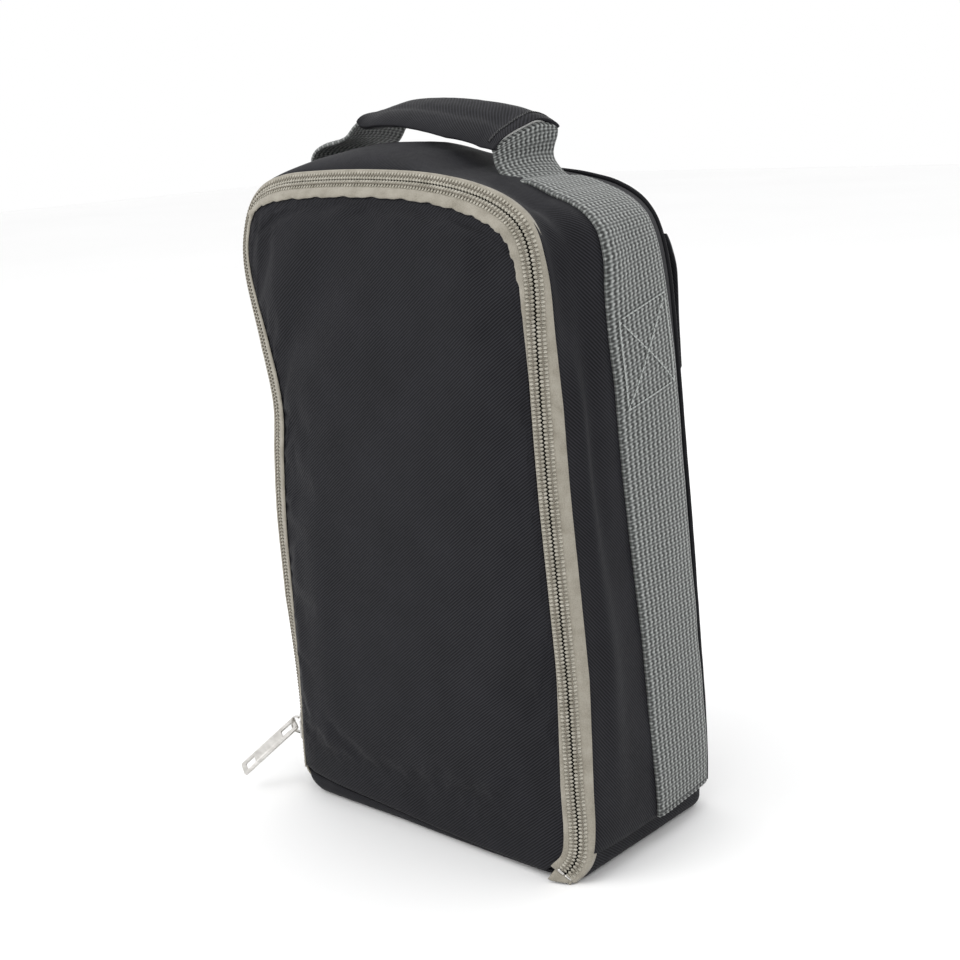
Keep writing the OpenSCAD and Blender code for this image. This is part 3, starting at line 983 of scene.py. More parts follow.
def end_stops():
    """Pressed metal stops over the ends of the coils, and the tape folded under them."""
    for side, body, name in ZIP_SIDES:
        parts = []
        for t0, t1 in ((0.02, 0.17), (ZIP_END - 0.12, ZIP_END)):
            t = np.linspace(t0, t1, 8)
            _, normal, inward = zip_frame(t)
            path = zip_middle(t) + inward * side * 2.2 + normal * 0.2
            size = 1 - 0.25 * np.abs(np.linspace(-1, 1, 8)) ** 6
            parts.append(tube("stop", path, inward, normal, 2.2 * size, 1.15 * size, 14))
        dress(join(f"{name}_end_stops", parts), NICKEL, body, [f"{name}_zip_stops"])
    parts = []
    for t0, direction in ((0.0, -1.0), (ZIP_END, 1.0)):
        tangent, normal, inward = zip_frame(np.array([t0]))
        start = zip_middle(np.array([t0]))[0]
        along = tangent[0] * direction
        f = np.linspace(0, 1, 10)[:, None]
        fold = start + along * (f * 6.5) - normal[0] * (2.4 * f**2)
        across = np.linspace(-5.2, 5.2, 9)
        crown = 0.35 * np.cos(across / 5.2 * 1.4)
        grid = fold[:, None] + inward[0] * across[None, :, None]
        grid = grid + normal[0] * crown[None, :, None] * (1 - f[:, None])
        grid[..., 2] = np.maximum(grid[..., 2], 1.1)
        parts.append(cloth("tab", grid, 0.9, flip=direction > 0))
    dress(join("zip_end_folds", parts), TAPE, "bag", ["zip_end_tabs"])


# ---------------------------------------------------------------- sides and top


def gusset_grid(step, rows, v0=0.0, v1=1.0, sink=0.0):
    t = even_steps(gusset_edge, 0, LAST, step)
    v = v0 + (v1 - v0) * np.linspace(0, 1, rows)
    points = gusset_skin(t[:, None], v[None, :])
    normal = grid_normals(points)
    return points - normal * sink, normal


def gusset():
    points, normal = gusset_grid(2.6, 74)
    rough = 0.35 * fine(points, 22, 5) + 0.12 * fine(points, 7, 6)
    middle = np.sin(np.linspace(0, 1, points.shape[1]) * math.pi)[None, :]
    points = points + normal * (rough * middle)[..., None]
    skin = cloth("gusset_cloth", points, 1.2, normals=normal)
    dress(skin, TWILL, "bag", ["gusset"])
    for name, rows, v0, v1, sink, thick, node in (
        ("gusset_inner_cloth", 30, 0.06, 0.96, 2.0, 0.4, "gusset_lining"),
        ("seam_binding_cloth", 3, 0.90, 0.955, 2.9, 0.6, "seam_binding"),
    ):
        inner, normal = gusset_grid(6, rows, v0, v1, sink)
        dress(cloth(name, inner, thick, normals=normal), LINING, "bag", [node])


def back_piping():
    """The covered cord sewn into the back seam."""
    t = even_steps(back_seam, 0, LAST, 2.2)
    path = back_seam(t) + BACK * 0.5
    path = path + 0.12 * np.stack([fine(path, 9, seed) for seed in (8, 9, 10)], -1)
    piping = cord("back_piping_cord", path, 1.35, 10)
    dress(piping, TRIM, "bag", ["back_piping"])


# ---------------------------------------------------------------- base


def base_ring(count):
    """The base's outline seen from above: its points and outward directions."""
    half_x, front, back, corner = 98.6, -52.4, SEAM_Y, 9.0
    places, outs = [], []
    for cx, cy, a0 in (
        (half_x - corner, back - corner, 0), (-half_x + corner, back - corner, 90),
        (-half_x + corner, front + corner, 180), (half_x - corner, front + corner, 270),
    ):
        for a in np.radians(a0 + np.linspace(0, 90, 7)):
            out = np.array([math.cos(a), math.sin(a), 0])
            places.append(np.array([cx, cy, 0]) + out * corner)
            outs.append(out)
    places, outs = np.array(places + places[:1]), np.array(outs + outs[:1])
    run = distances(places)
    at = np.linspace(0, run[-1], count + 1)[:-1]
    return follow(places, run, at), unit(follow(outs, run, at))


def base_tray():
    """The base cloth: a floor with a band turned up round it."""
    ring, out = base_ring(300)
    side = np.abs(out[:, 0]) ** 2
    front = np.clip(-out[:, 1], 0, 1) ** 2
    rear = np.clip(out[:, 1], 0, 1) ** 2
    is_right = ring[:, 0] > 0
    pull = knots(ring[:, 0], [(-98, 2.5), (-60, 0.5), (0, -2), (40, -3.6), (75, -4.6), (98, -4.4)])
    ring[:, 1] += pull * ease(-20, -52, ring[:, 1])
    ring[:, 0] += 2.2 * ease(85, 98, ring[:, 0])
    low_front = knots(ring[:, 0], [(-98, 12), (-60, 8.2), (0, 4.6), (40, 3.4), (98, 3.0)])
    rise = np.where(out[:, 1] > 0, np.abs(out[:, 0]) ** 0.5, side)
    top = np.where(is_right, 18.5, 15.5) * rise + low_front * front + 6 * rear
    radius = np.where(is_right, 7.5, 12.5) * side + np.minimum(6.0, low_front) * front + 5.0 * rear
    levels = []
    for f in (0, 0.5):
        levels.append(ring + UP * (top + (radius - top) * f)[:, None])
    for a in np.linspace(0, math.pi / 2, 9):
        reach = radius * (1 - math.cos(a))
        levels.append(ring - out * reach[:, None] + UP * (radius * (1 - math.sin(a)))[:, None])
    edge = levels[-1]
    for f in np.linspace(0.12, 1, 14):
        levels.append(edge * [1 - f, 1 - f, 1] + UP * (0.25 * math.sin(f * math.pi)))
    rings = np.stack(levels)
    rings[..., 2] = np.maximum(rings[..., 2], 0.05)
    tucked = ease(-84, -97, rings[..., 0]) * ease(-30, -50, rings[..., 1])
    rings[..., 2] += 5.0 * tucked * ease(16, 0, rings[..., 2])
    wobble = 0.5 * fine(rings, 24, 12) * ease(0.5, 5, rings[..., 2])
    rings = rings + out[None] * wobble[..., None]
    count, around = rings.shape[:2]
    inner = rings.copy()
    inner[:11] -= out[None] * 1.4
    inner[..., 2] += np.linspace(0, 1.4, count)[:, None] ** 0.5
    total = count * around
    outside = grid_faces(count, around, round_columns=True)
    inside = [tuple(reversed([c + total for c in f])) for f in outside]
    rim = [(j, (j + 1) % around, (j + 1) % around + total, j + total) for j in range(around)]
    lengths = np.cumsum(np.linalg.norm(np.diff(rings, axis=0, prepend=rings[:1]), axis=-1), axis=0)
    run = np.linspace(0, 620, around)[None, :] + 0 * lengths
    uv = np.stack([run, lengths], -1).reshape(-1, 2)
    tray = build(
        "base_cloth", np.vstack([rings.reshape(-1, 3), inner.reshape(-1, 3)]),
        outside + inside + rim, np.vstack([uv, uv]),
    )
    tidy(tray)
    dress(tray, TWILL, "bag", ["base_band"])
    low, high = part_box("base_lining")
    x = np.linspace(low[0], high[0], 40) / MM
    y = np.linspace(low[1], high[1], 24) / MM
    grid = np.stack(np.meshgrid(x, y, indexing="ij") + [np.full((40, 24), high[2] / MM)], -1)
    grid[..., 2] += 0.4 * fine(grid, 30, 14) - 0.2
    dress(cloth("base_inner_cloth", grid, 0.5), LINING, "bag", ["base_lining"])


def base_seam():
    """A rolled seam where the band meets the sides."""
    for side, name in ((1, "right"), (-1, "left")):
        y = np.linspace(-46, 53, 60)
        x = side * (98.9 - 1.6 * hill(y, -46, 6)) + (2.0 if side > 0 else 0)
        path = np.stack([x, y, 14.2 + 0.5 * np.sin(y / 17.0 + side)], -1)
        dress(cord(f"base_seam_{name}", path, 0.75, 8), BLACK_THREAD, "bag")


# ---------------------------------------------------------------- back and pocket


def back_grid(rows, columns, y, bulge, shrink=1.0):
    """A grid over the back, inside the back seam."""
    left, right = span(back_seam, 0, TOP_LEFT), span(back_seam, LAST, TOP_RIGHT)
    corner = np.array([9.0, 0, -9.5])
    low = np.vstack([left[0], left[0] + corner, right[0] + corner * [-1, 1, 1], right[0]])
    grid, _ = filled(left, right, span(back_seam, TOP_LEFT, TOP_RIGHT), low, rows, columns)
    middle = np.array([0, 0, 170.0])
    grid = middle + (grid - middle) * [shrink, 1, shrink]
    edge = np.minimum(
        np.minimum(crowded(rows), crowded(rows)[::-1])[:, None] * rows / columns,
        np.minimum(crowded(columns), crowded(columns)[::-1])[None, :],
    )
    grid[..., 1] = SEAM_Y + y + bulge * ease(0, 0.12, edge)
    return grid


def behind(points):
    return np.broadcast_to(BACK, points.shape)


def back_panel():
    face = back_grid(96, 64, 0.6, 1.4)
    face[..., 1] += 0.3 * fine(face, 30, 20)
    panel = cloth("back_cloth", face, 1.0, normals=behind(face), uv=(face[..., 0], face[..., 2]))
    tidy(panel)
    dress(panel, TWILL, "bag", ["back_panel"])
    for name, grid, thick, material, slot, node in (
        ("back_foam_pad", back_grid(30, 20, -0.9, 0.0, 0.975), 2.6, FOAM, "foam", "back_foam"),
        ("back_inner_cloth", back_grid(44, 30, -4.0, -0.4, 0.975), 0.4, LINING, "lining", "back_lining"),
    ):
        dress(cloth(name, grid, thick, normals=behind(grid)), material, "bag", [node])


def pocket():
    """A flat patch pocket across the back, with a hem, open under its flap."""
    _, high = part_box("pocket_panel")
    top = high[2] / MM
    rows, columns = 96, 90
    z = 3 + (top - 3) * np.linspace(0, 1, rows)
    s = np.linspace(-1, 1, columns)
    half = knots(z, [
        (0, 88), (14, 96.5), (50, 96), (100, 93.5), (150, 90.5), (200, 87.5), (250, 86.5), (280, 85),
    ])
    x = half[:, None] * s[None, :]
    edge = 1 - np.abs(s[None, :]) ** 7
    foot = ease(0, 12, z[:, None] - 3)
    y = 56.6 + 5.8 * edge * foot
    points = np.stack([x, y + 0 * x, z[:, None] + 0 * x], -1)
    points[..., 1] += 0.55 * fine(points, 34, 21) * edge * foot
    points[..., 1] -= 1.2 * hill(z, top, 26)[:, None] * hill(s, 0, 0.5)[None, :]
    front = cloth("pocket_cloth", points, 0.9, normals=grid_normals(points))
    dress(front, TWILL, "bag", ["pocket_panel"])
    hem_rows = points[-12:] + BACK * 0.75
    hem = cloth("pocket_hem_cloth", hem_rows, 0.7, normals=grid_normals(hem_rows))
    dress(hem, TRIM, "bag", ["pocket_hem"])
    back_stitches("pocket_hem_thread", points[-11] + BACK * 0.9, "bag")
    for k, path in enumerate([points[:-1, -2], points[:-1, 1][::-1]]):
        back_stitches(f"pocket_side_thread_{k}", path + BACK * 0.4, "bag")


def pocket_flap():
    """Sewn to the back above the pocket; it folds out over the mouth."""
    half, corner = 84, 10
    rows, columns = 60, 80
    f = np.linspace(0, 1, rows)
    corners = Spline([
        (56.2, 299.6), (57.6, 299.0), (61.4, 293.5), (65.4, 284), (66.3, 274),
        (66.4, 255), (66.5, 238), (66.4, 222.4),
    ])
    profile = corners(f * corners.last)
    s = np.linspace(-1, 1, columns)
    points = np.zeros((rows, columns, 3))
    points[..., 0] = (half * s)[None, :] * (1 - 0.012 * np.sin(f * math.pi))[:, None]
    points[..., 1:] = profile[:, None]
    round_low = corner * (np.clip(np.abs(s) * half - half + corner, 0, corner) / corner) ** 2.2
    points[..., 2] += round_low[None, :] * ease(0.6, 1, f)[:, None]
    free = ease(0.08, 0.4, f)[:, None]
    points[..., 1] += 0.5 * fine(points, 28, 23) * free
    flap = cloth("pocket_flap_cloth", points, 1.1, normals=grid_normals(points))
    tidy(flap)
    dress(flap, TWILL, "pocket_flap", ["pocket_flap"])
    inset = points[4:-3, 2:-2]
    path = np.vstack([inset[:, 0], inset[-1, 1:-1], inset[::-1, -1]]) + BACK * 0.12
    back_stitches("pocket_flap_thread", path, "pocket_flap")
    for node in ("pocket_loop_tape", "pocket_hook_tape"):
        repaint(node, TOUCH)


def repaint(node, material):
    """A CAD node keeps its shape and takes a better material."""
    for slot in frame["nodes"][node].material_slots:
        slot.material = material


# ---------------------------------------------------------------- grip

GRIP_TOP = [                     # x and height of the grip's crest, left to right
    (-66, 368.8), (-58, 370.9), (-43, 373.2), (-17, 372.2), (10, 368.6), (25, 364.6), (34, 361.4),
]
GRIP_MIDDLE_Y = 14.0
GRIP_HALF_W = 26.5
GRIP_CORE = 4.3                  # depth of the sleeve's middle below the crest
GRIP_EDGE = 0.985                # where the sleeve's edge lies across the grip
grip_crest = Spline(GRIP_TOP)


def grip_sheet(a, w, depth):
    """A point in the grip: a from 0 to 1 along it, w from -1, front, to 1, depth down."""
    a, w = np.broadcast_arrays(np.asarray(a, float), np.asarray(w, float))
    crest = grip_crest(a * grip_crest.last)
    front = np.clip((0.3 - w) / 1.3, 0, 1)
    rear = np.clip((w - 0.3) / 0.7, 0, 1)
    steep = knots(a, [(0, 1.4), (0.12, 5), (0.25, 7.5), (0.42, 8.5), (0.6, 12), (0.8, 12.5), (1, 10)])
    drop = steep * front**1.15 + 1.6 * rear**1.8
    crease = 0.9 * hill(w, -0.36, 0.13) * ease(0.02, 0.12, a) * (1 - ease(0.8, 0.95, a))
    y = GRIP_MIDDLE_Y + GRIP_HALF_W * w * (1 - 0.05 * np.abs(w))
    x = crest[..., 0] + 7.0 * front * (1 - ease(0, 0.3, a)) - 3.0 * front * ease(0.72, 1, a)
    return np.stack([x, y, crest[..., 1] - drop - crease - depth], -1)


def grip_swell(a, w):
    """Half the sleeve's thickness at a point: full to its edges, drawn in at its ends."""
    flat = np.sqrt(np.clip(1 - np.abs(w) ** 5, 0, 1))
    drawn = 1 - 0.12 * hill(a, 0, 0.05) - 0.22 * hill(a, 1, 0.04)
    return (4.0 * flat + 0.2) * drawn


def drawn_in(ring, by, x):
    """A ring shrunk by a share of its size and moved along x."""
    return ring + (ring.mean(axis=0) - ring) * by + np.array([x, 0, 0])


def grip_sleeve():
    """The padded twill sleeve, open at both ends where the webbing comes out."""
    stations, around = 84, 64
    a = np.linspace(0, 1, stations)
    angle = np.arange(around) * 2 * math.pi / around
    w = np.sign(np.cos(angle)) * np.abs(np.cos(angle)) ** 0.85
    rise = np.sin(angle)
    over = np.sign(rise) * np.abs(rise) ** 0.5 * (np.abs(rise) > 1e-6)
    rings = np.stack([
        grip_sheet(a_k, w * GRIP_EDGE, GRIP_CORE - grip_swell(a_k, w) * over) for a_k in a
    ])
    puff = 0.35 * fine(rings, 13, 30) + 0.18 * fine(rings, 5, 31)
    centre = rings.mean(axis=1, keepdims=True)
    rings = rings + unit(rings - centre) * puff[..., None]
    first, last = rings[0], rings[-1]
    rings = np.concatenate([
        [drawn_in(first, 0.22, 5.0)], [drawn_in(first, 0.16, 0.8)], [drawn_in(first, 0.05, -0.3)], rings,
        [drawn_in(last, 0.05, 0.3)], [drawn_in(last, 0.16, -0.8)], [drawn_in(last, 0.22, -5.0)],
    ])
    count = len(rings)
    faces = grid_faces(count, around, round_columns=True)
    u, _ = grid_lengths(rings)
    v = np.broadcast_to(angle[None] / (2 * math.pi) * 118, u.shape)
    uv = np.stack([u, v], -1).reshape(-1, 2)
    sleeve = build("grip_sleeve_cloth", rings.reshape(-1, 3), faces, uv)
    dress(sleeve, TWILL, "handle", ["grip_sleeve"])
    w = np.linspace(-0.9, 0.9, 17)
    a = np.linspace(0.03, 0.97, 50)
    foam = cloth("grip_foam_pad", grip_sheet(a[:, None], w[None] * 0.86, 2.3), 1.2)
    dress(foam, FOAM, "handle", ["grip_foam"])
    band = cloth("grip_webbing_core", grip_sheet(a[:, None], w[None], 3.7), 1.4)
    dress(band, WEBBING, "handle", ["handle_webbing"])


def grip_stitches():
    """Cross stitches in black thread over the sleeve's right end."""
    parts = []
    w = np.linspace(-0.9, 0.88, 25)
    for k in range(len(w) - 1):
        for a0, a1 in ((0.875, 0.895), (0.895, 0.875)):
            f = np.linspace(0, 1, 6)
            aa, ww = a0 + (a1 - a0) * f, w[k] + (w[k + 1] - w[k]) * f
            over = np.clip(1 - np.abs(ww / GRIP_EDGE) ** 2.353, 0, 1) ** 0.25
            path = grip_sheet(aa, ww, GRIP_CORE - grip_swell(aa, ww) * over - 0.25)
            parts.append(cord("s", path, 0.27, 6))
    dress(join("grip_cross_stitches", parts), BLACK_THREAD, "handle")


# ---------------------------------------------------------------- webbing

WEB_HALF = 25.0
WEB_THICK = 1.6
WEB_STEP = WEB_ROW / 3
WEB_COLUMNS = 56
LEAVE_RIGHT = 15.25              # where the webbing leaves the bag's top, on the zip's scale
LEAVE_LEFT = 9.7


def web_centre_y(t, side):
    if side > 0:
        return knots(t, [
            (15, 14), (17, 14.5), (18.5, 14), (19.4, 15.8), (20.2, 18.5), (21.8, 20.5),
            (22.8, 23.5), (24, 26), (25, 27),
        ])
    return knots(t, [(0, 28), (3, 23), (5, 19), (7, 17), (9, 15), (10, 14)])


def web_on_bag(side, count):
    """Rows of points across the webbing from the base band up to where it leaves the bag."""
    t = np.linspace(LAST, LEAVE_RIGHT, count) if side > 0 else np.linspace(0, LEAVE_LEFT, count)
    v = np.linspace(0.02, 0.99, 150)
    points = gusset_skin(t[:, None], v[None, :])
    normal = grid_normals(points)
    if side > 0:
        normal = -normal
    across = np.linspace(-WEB_HALF, WEB_HALF, WEB_COLUMNS)
    wide = np.ones(count)
    if side > 0:
        wide = knots(t, [(16, 1), (18.5, 1.10), (20.2, 1.13), (21.8, 1.09), (22.8, 1.06), (25, 1.04)])
    rows, lifts = [], []
    for k in range(count):
        line = points[k]
        run = distances(line)
        at = np.interp(web_centre_y(t[k], side), line[:, 1], run) + across * wide[k]
        rows.append(follow(line, run, at))
        lifts.append(follow(normal[k], run, at))
    rows, lifts = np.stack(rows), unit(np.stack(lifts))
    return rows + lifts * (WEB_THICK + 0.5)


# The legs' front and rear edges between the bag and the grip: x, z, x, z
LEG_RIGHT = [(40.2, 332.6, 39.5, 331.6), (33.8, 339.0, 31.0, 341.0), (31.8, 344.6, 34.0, 351.6)]
LEG_LEFT = [
    (-98, 339, -99, 336), (-95.5, 347.5, -94, 344), (-87.5, 352.4, -87, 348.6),
    (-71.5, 355.8, -76.5, 352.6), (-63.5, 361.2, -70.5, 359.6),
]


def web_leg(side, start_rows):
    """Rows from the bag's top up into the end of the grip."""
    across = np.linspace(-1, 1, WEB_COLUMNS)
    rear = (across + 1) / 2
    a_end = 1.0 if side > 0 else 0.0
    end = grip_sheet(np.full(WEB_COLUMNS, a_end), across * 0.93, GRIP_CORE)
    deep = grip_sheet(np.full(WEB_COLUMNS, a_end - 0.08 * side), across * 0.93, GRIP_CORE + 0.1)
    start = start_rows[-1]
    edges = LEG_RIGHT if side > 0 else LEG_LEFT
    rows = [start_rows[-10], start]
    for k, (x0, z0, x1, z1) in enumerate(edges):
        f = (k + 1) / (len(edges) + 1)
        arch = 1.6 * (1 - across**2)
        y = start[:, 1] * (1 - f) + end[:, 1] * f
        rows.append(np.stack([
            x0 + (x1 - x0) * rear + side * 0.5 * arch, y, z0 + (z1 - z0) * rear + arch
        ], -1))
    curve = Spline(np.stack(rows + [end, deep]))
    t = np.linspace(1, curve.last, 500)
    run = distances(curve(t)[:, WEB_COLUMNS // 2])
    count = int(run[-1] / WEB_STEP)
    return curve(np.interp(np.linspace(0, run[-1], count + 1)[1:], run, t))


def webbing(side, name, nodes):
    count = int(distances(web_on_bag(side, 60)[:, WEB_COLUMNS // 2])[-1] / WEB_STEP)
    rows = web_on_bag(side, 400)
    run = distances(rows[:, WEB_COLUMNS // 2])
    at = np.linspace(0, run[-1], count + 1)
    even = np.stack([follow(rows[:, j], run, at) for j in range(WEB_COLUMNS)], 1)
    grid = np.concatenate([even, web_leg(side, even)])
    normal = grid_normals(grid)
    normal = normal * -side
    for _ in range(3):
        normal[1:-1] = unit(normal[:-2] + normal[1:-1] * 2 + normal[2:])
    v, u = np.meshgrid(
        np.linspace(-WEB_HALF, WEB_HALF, WEB_COLUMNS), np.arange(len(grid)) * WEB_STEP
    )
    edge = 1 - np.abs(v / WEB_HALF) ** 14
    zigzag = WEB_ROW - np.abs(u % (2 * WEB_ROW) - WEB_ROW)
    over = np.cos((v + WEB_SKEW * zigzag) * 2 * math.pi / WEB_CELL)
    strong = 0.55 + 0.22 * np.cos(u * 2 * math.pi / (3 * WEB_ROW))
    weave = over * strong + 0.38 * np.cos(u * 2 * math.pi / WEB_ROW)
    wavy = 0.5 * fine(grid, 26, 41)
    lift = 0.3 * weave * edge - 0.7 * (1 - edge) * WEB_THICK * 0.5 + wavy
    outer = grid + normal * lift[..., None]
    piece = cloth(name, outer, WEB_THICK, normals=normal, uv=(u, v))
    tidy(piece)
    piece.data.materials.append(WEBBING)
    end = grip_sheet(1.0 if side > 0 else 0.0, 0.0, GRIP_CORE)
    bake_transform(piece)
    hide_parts(*nodes)
    return grid, normal


def on_webbing(grid, normal, u, v):
    """Points and normals at distances u along and v across a piece of webbing."""
    row = np.clip(np.asarray(u, float) / WEB_STEP, 0, len(grid) - 1.001)
    column = (np.asarray(v, float) + WEB_HALF) / (2 * WEB_HALF) * (WEB_COLUMNS - 1)
    i, j = np.floor(row).astype(int), np.clip(np.floor(column).astype(int), 0, WEB_COLUMNS - 2)
    fi, fj = (row - i)[:, None], (column - j)[:, None]

    def blend(rows):
        low = rows[i, j] * (1 - fj) + rows[i, j + 1] * fj
        high = rows[i + 1, j] * (1 - fj) + rows[i + 1, j + 1] * fj
        return low * (1 - fi) + high * fi
    return blend(grid), unit(blend(normal))


def box_stitch(name, node, grid, normal):
    """The sewn square with a cross in it."""
    low, high, half = 213, 257, 19.5
    corners = [(low, -half), (low, half), (high, half), (high, -half)]
    lines = [(corners[k], corners[(k + 1) % 4]) for k in range(4)]
    lines += [(corners[0], corners[2]), (corners[1], corners[3])]
    parts = []
    for k, (a, b) in enumerate(lines):
        u, v = np.linspace(a, b, 60).T
        path, lift = on_webbing(grid, normal, u, v)
        parts.append(stitch_row(f"{name}_{k}", path + lift * 0.55, lift, 2.9, 0.6, 0.42))
    dress(join(name, parts), GREY_THREAD, "bag", [node])


def web_foot(name, grid, normal):
    """Black stitches that hold the webbing's foot into the base seam."""
    v = np.linspace(-24, 24, 40)
    path, lift = on_webbing(grid, normal, np.full(40, 2.2), v)
    dress(stitch_row(name, path + lift * 0.4, lift, 2.4, 0.9, 0.24), BLACK_THREAD, "bag")


# ---------------------------------------------------------------- slider and pull

SLIDER_T = 1.0                   # thickness of its plates
SLIDER_LONG = 13.0
PULL_LONG, PULL_HALF, PULL_THICK = 40.3, 4.3, 1.35
PULL_DROP = 40                   # the pull stands this far below level, degrees
PULL_TWIST = -28                 # and has turned this far about its length, loose on its bridge


def bar(name, path, axes, second, radius_a, radius_b, sides):
    """A straight tube; its half-widths lie along the first and another of the axes."""
    directions = [np.tile(axes[:, i], (len(path), 1)) for i in (0, second)]
    return tube(name, path, *directions, radius_a, radius_b, sides)


def local_axes(out, along):
    """A matrix whose X points along out, Z along the zip and Y across."""
    out, along = unit(out), unit(along)
    across = unit(np.cross(along, out))
    along = np.cross(out, across)
    return np.stack([out, across, along], 1)


def flat_shape(name, outlines, thick, bevel):
    """A bevelled plate from closed outlines; the ones inside others are holes."""
    curve = bpy.data.curves.new(name, "CURVE")
    curve.dimensions = "2D"
    curve.fill_mode = "BOTH"
    curve.extrude = (thick / 2 - bevel) * MM
    curve.bevel_depth = bevel * MM
    curve.bevel_resolution = 2
    for points in outlines:
        spline = curve.splines.new("POLY")
        spline.points.add(len(points) - 1)
        for point, (x, y) in zip(spline.points, points):
            point.co = (x * MM, y * MM, 0, 1)
        spline.use_cyclic_u = True
    holder = link(name, curve)
    graph = bpy.context.evaluated_depsgraph_get()
    mesh = bpy.data.meshes.new_from_object(holder.evaluated_get(graph))
    bpy.data.objects.remove(holder)
    bpy.data.curves.remove(curve)
    co = np.empty(len(mesh.vertices) * 3)
    mesh.vertices.foreach_get("co", co)
    faces = [tuple(p.vertices) for p in mesh.polygons]
    bpy.data.meshes.remove(mesh)
    return co.reshape(-1, 3) / MM, faces


def rounded(corners, radius):
    """A closed outline with its corners rounded."""
    points = []
    count = len(corners)
    corners = np.array(corners, float)
    for k in range(count):
        before, here, after = corners[k - 1], corners[k], corners[(k + 1) % count]
        a = here + unit(before - here) * radius
        b = here + unit(after - here) * radius
        for f in np.linspace(0, 1, 5):
            points.append(a * (1 - f) ** 2 + 2 * here * f * (1 - f) + b * f**2)
    return points


def placed(name, vertices, faces, axes, origin):
    """Local points set into the model by three axes and an origin."""
    return build(name, vertices @ axes.T + origin, faces)


def pull_hinge():
    """The pull's joint: where its pin is, in mm, and the pin's direction."""
    joints = frame["record"]["behaviour"]["joints"]
    hinge = next(j for j in joints if j["name"] == "pull_swing")
    return np.array(hinge["pos_m"]) / MM, unit(hinge["axis"])


def slider():
    """Two plates joined by a wedge, with rolled sides and a bridge for the pull."""
    t = np.array([1.0])
    tangent, normal, _ = zip_frame(t)
    axes = local_axes(normal[0], tangent[0])
    origin = zip_middle(t)[0]
    low, high = -SLIDER_LONG / 2, SLIDER_LONG / 2
    outline = rounded([
        (-3.6, low), (3.6, low), (4.9, low + 4), (5.0, high - 1.5), (3.4, high), (0, high - 1.2),
        (-3.4, high), (-5.0, high - 1.5), (-4.9, low + 4),
    ], 0.9)
    parts = []
    swap = np.array([[0, 0, 1.0], [1.0, 0, 0], [0, 1.0, 0]])
    for x in (1.55, -1.75):
        points, faces = flat_shape("plate", [outline], SLIDER_T, 0.3)
        points = points @ swap.T + [x, 0, 0]
        points[:, 0] -= 0.02 * points[:, 1] ** 2 * math.copysign(1, x)
        parts.append(placed("plate", points, faces, axes, origin))
    for side in (-1, 1):
        z = np.linspace(low + 1.4, high - 2.2, 12)
        y = side * np.interp(z, [low, low + 4, high], [3.7, 4.8, 4.95])
        for x in (1.15, -1.35):
            path = np.stack([np.full(12, x), y, z], -1) @ axes.T + origin
            parts.append(bar("flange", path, axes, 1, 0.75, 0.55, 10))
    wedge = rounded([(-1.3, high - 1.6), (0, high - 6), (1.3, high - 1.6)], 0.5)
    points, faces = flat_shape("wedge", [wedge], 3.0, 0.2)
    parts.append(placed("wedge", points @ swap.T, faces, axes, origin))
    dress(join("zip_slider_body", parts), NICKEL, "zip_slider", ["slider_body"])
    pin, _ = pull_hinge()
    foot = origin + axes[:, 0] * 2.0
    reach = unit(pin - foot)
    far = np.linalg.norm(pin - foot) + 1.9
    z = np.array([-4.4, -4.4, -3.7, -1.8, 0.4, 2.6, 4.1, 4.4])
    x = np.array([0, 0.45, 0.8, 0.98, 1.0, 0.93, 0.6, 0]) * far
    arch = Spline(np.stack([x, z], -1))(np.linspace(0, 7, 36))
    path = foot + arch[:, :1] * reach + arch[:, 1:] * axes[:, 2]
    along = frames_along(path)
    wide = np.tile(unit(np.cross(axes[:, 2], reach)), (36, 1))
    bridge = tube("zip_slider_bridge", path, wide, unit(np.cross(along, wide)), 1.4, 0.5, 12)
    dress(bridge, NICKEL, "zip_slider", ["slider_bridge"])


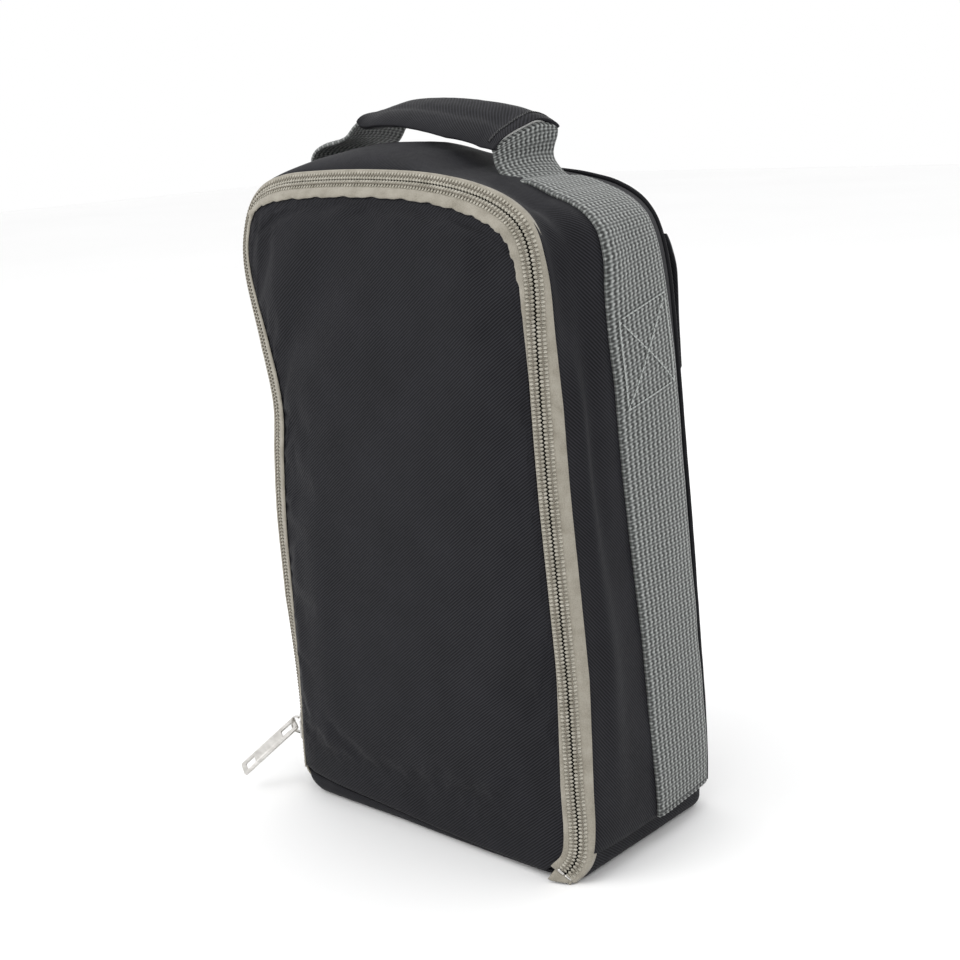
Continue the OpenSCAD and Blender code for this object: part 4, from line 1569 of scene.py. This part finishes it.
def pull_tab():
    """A flat tab with a slot at each end, hanging out and down from its crossbar."""
    origin, pin_axis = pull_hinge()
    across = -pin_axis
    level = unit(np.cross(across, UP))
    drop = math.radians(PULL_DROP)
    out = level * math.cos(drop) - UP * math.sin(drop)
    twist = math.radians(PULL_TWIST)
    across = across * math.cos(twist) + np.cross(out, across) * math.sin(twist)
    axes = np.stack([out, across, np.cross(out, across)], 1)
    long, half = PULL_LONG, PULL_HALF
    body = rounded([(-0.6, -half), (long, -half), (long, half), (-0.6, half)], 1.1)
    outlines = [body]
    for x0, x1, wide in ((1.3, 10.2, half - 1.9), (long - 9.6, long - 2.2, half - 1.7)):
        outlines.append(rounded([(x0, -wide), (x1, -wide), (x1, wide), (x0, wide)], 0.8)[::-1])
    points, faces = flat_shape("tab", outlines, PULL_THICK, 0.28)
    points[:, 2] += 0.35 * np.sin(points[:, 0] / long * math.pi)
    parts = [placed("tab", points, faces, axes, origin)]
    path = np.linspace(-half + 0.4, half - 0.4, 10)[:, None] * across + origin
    parts.append(bar("bar", path, axes, 2, 0.85, 0.85, 14))
    dress(join("zip_pull_tab", parts), NICKEL, "zip_pull", ["pull_tab"])


# ---------------------------------------------------------------- the whole

front_panel()
zip_pieces()
end_stops()
gusset()
back_piping()
base_tray()
base_seam()
back_panel()
pocket()
pocket_flap()
grip_sleeve()
grip_stitches()
for web_side, web_name in ((1, "right"), (-1, "left")):
    web_grid, web_normal = webbing(
        web_side, f"webbing_{web_name}_strap", [f"side_webbing_{web_name}", f"webbing_leg_{web_name}"]
    )
    box_stitch(f"box_stitches_{web_name}", f"box_stitch_{web_name}", web_grid, web_normal)
    web_foot(f"webbing_foot_thread_{web_name}", web_grid, web_normal)
slider()
pull_tab()
repaint("base_board", BOARD)


# ---------------------------------------------------------------- stage and light


def floor():
    side = 6000.0
    rows = np.linspace(-side, side, 3)
    grid = np.stack(np.meshgrid(rows, rows, indexing="ij") + [np.zeros((3, 3))], -1)
    piece = build("floor", grid.reshape(-1, 3), grid_faces(3, 3))
    piece.data.materials.append(pale_floor())


def area_light(name, at, height, size, power):
    """A rectangular light that looks at a height over the bag's middle."""
    data = bpy.data.lights.new(name, "AREA")
    data.shape = "RECTANGLE"
    data.size, data.size_y = size
    data.energy = power
    lamp = link(name, data)
    towards = unit(UP * height - np.array(at))
    side = unit(np.cross(towards, UP))
    lamp.matrix_world = placement(side, np.cross(side, towards), -towards, at)


def studio():
    floor()
    area_light("key", (-0.9, -1.5, 1.6), 0.15, (1.4, 1.2), 15)
    area_light("side", (1.7, -0.5, 1.0), 0.18, (1.2, 1.4), 1.5)
    area_light("top", (0.1, 0.2, 1.9), 0.2, (1.6, 1.6), 6)
    area_light("rear", (0.2, 1.6, 1.2), 0.2, (1.4, 1.2), 3)
    world = bpy.data.worlds.new("studio")
    world.use_nodes = True
    background = world.node_tree.nodes["Background"]
    background.inputs["Color"].default_value = (1, 1, 1, 1)
    background.inputs["Strength"].default_value = 1.0
    bpy.context.scene.world = world
    bpy.context.scene.view_settings.view_transform = "Standard"


studio()
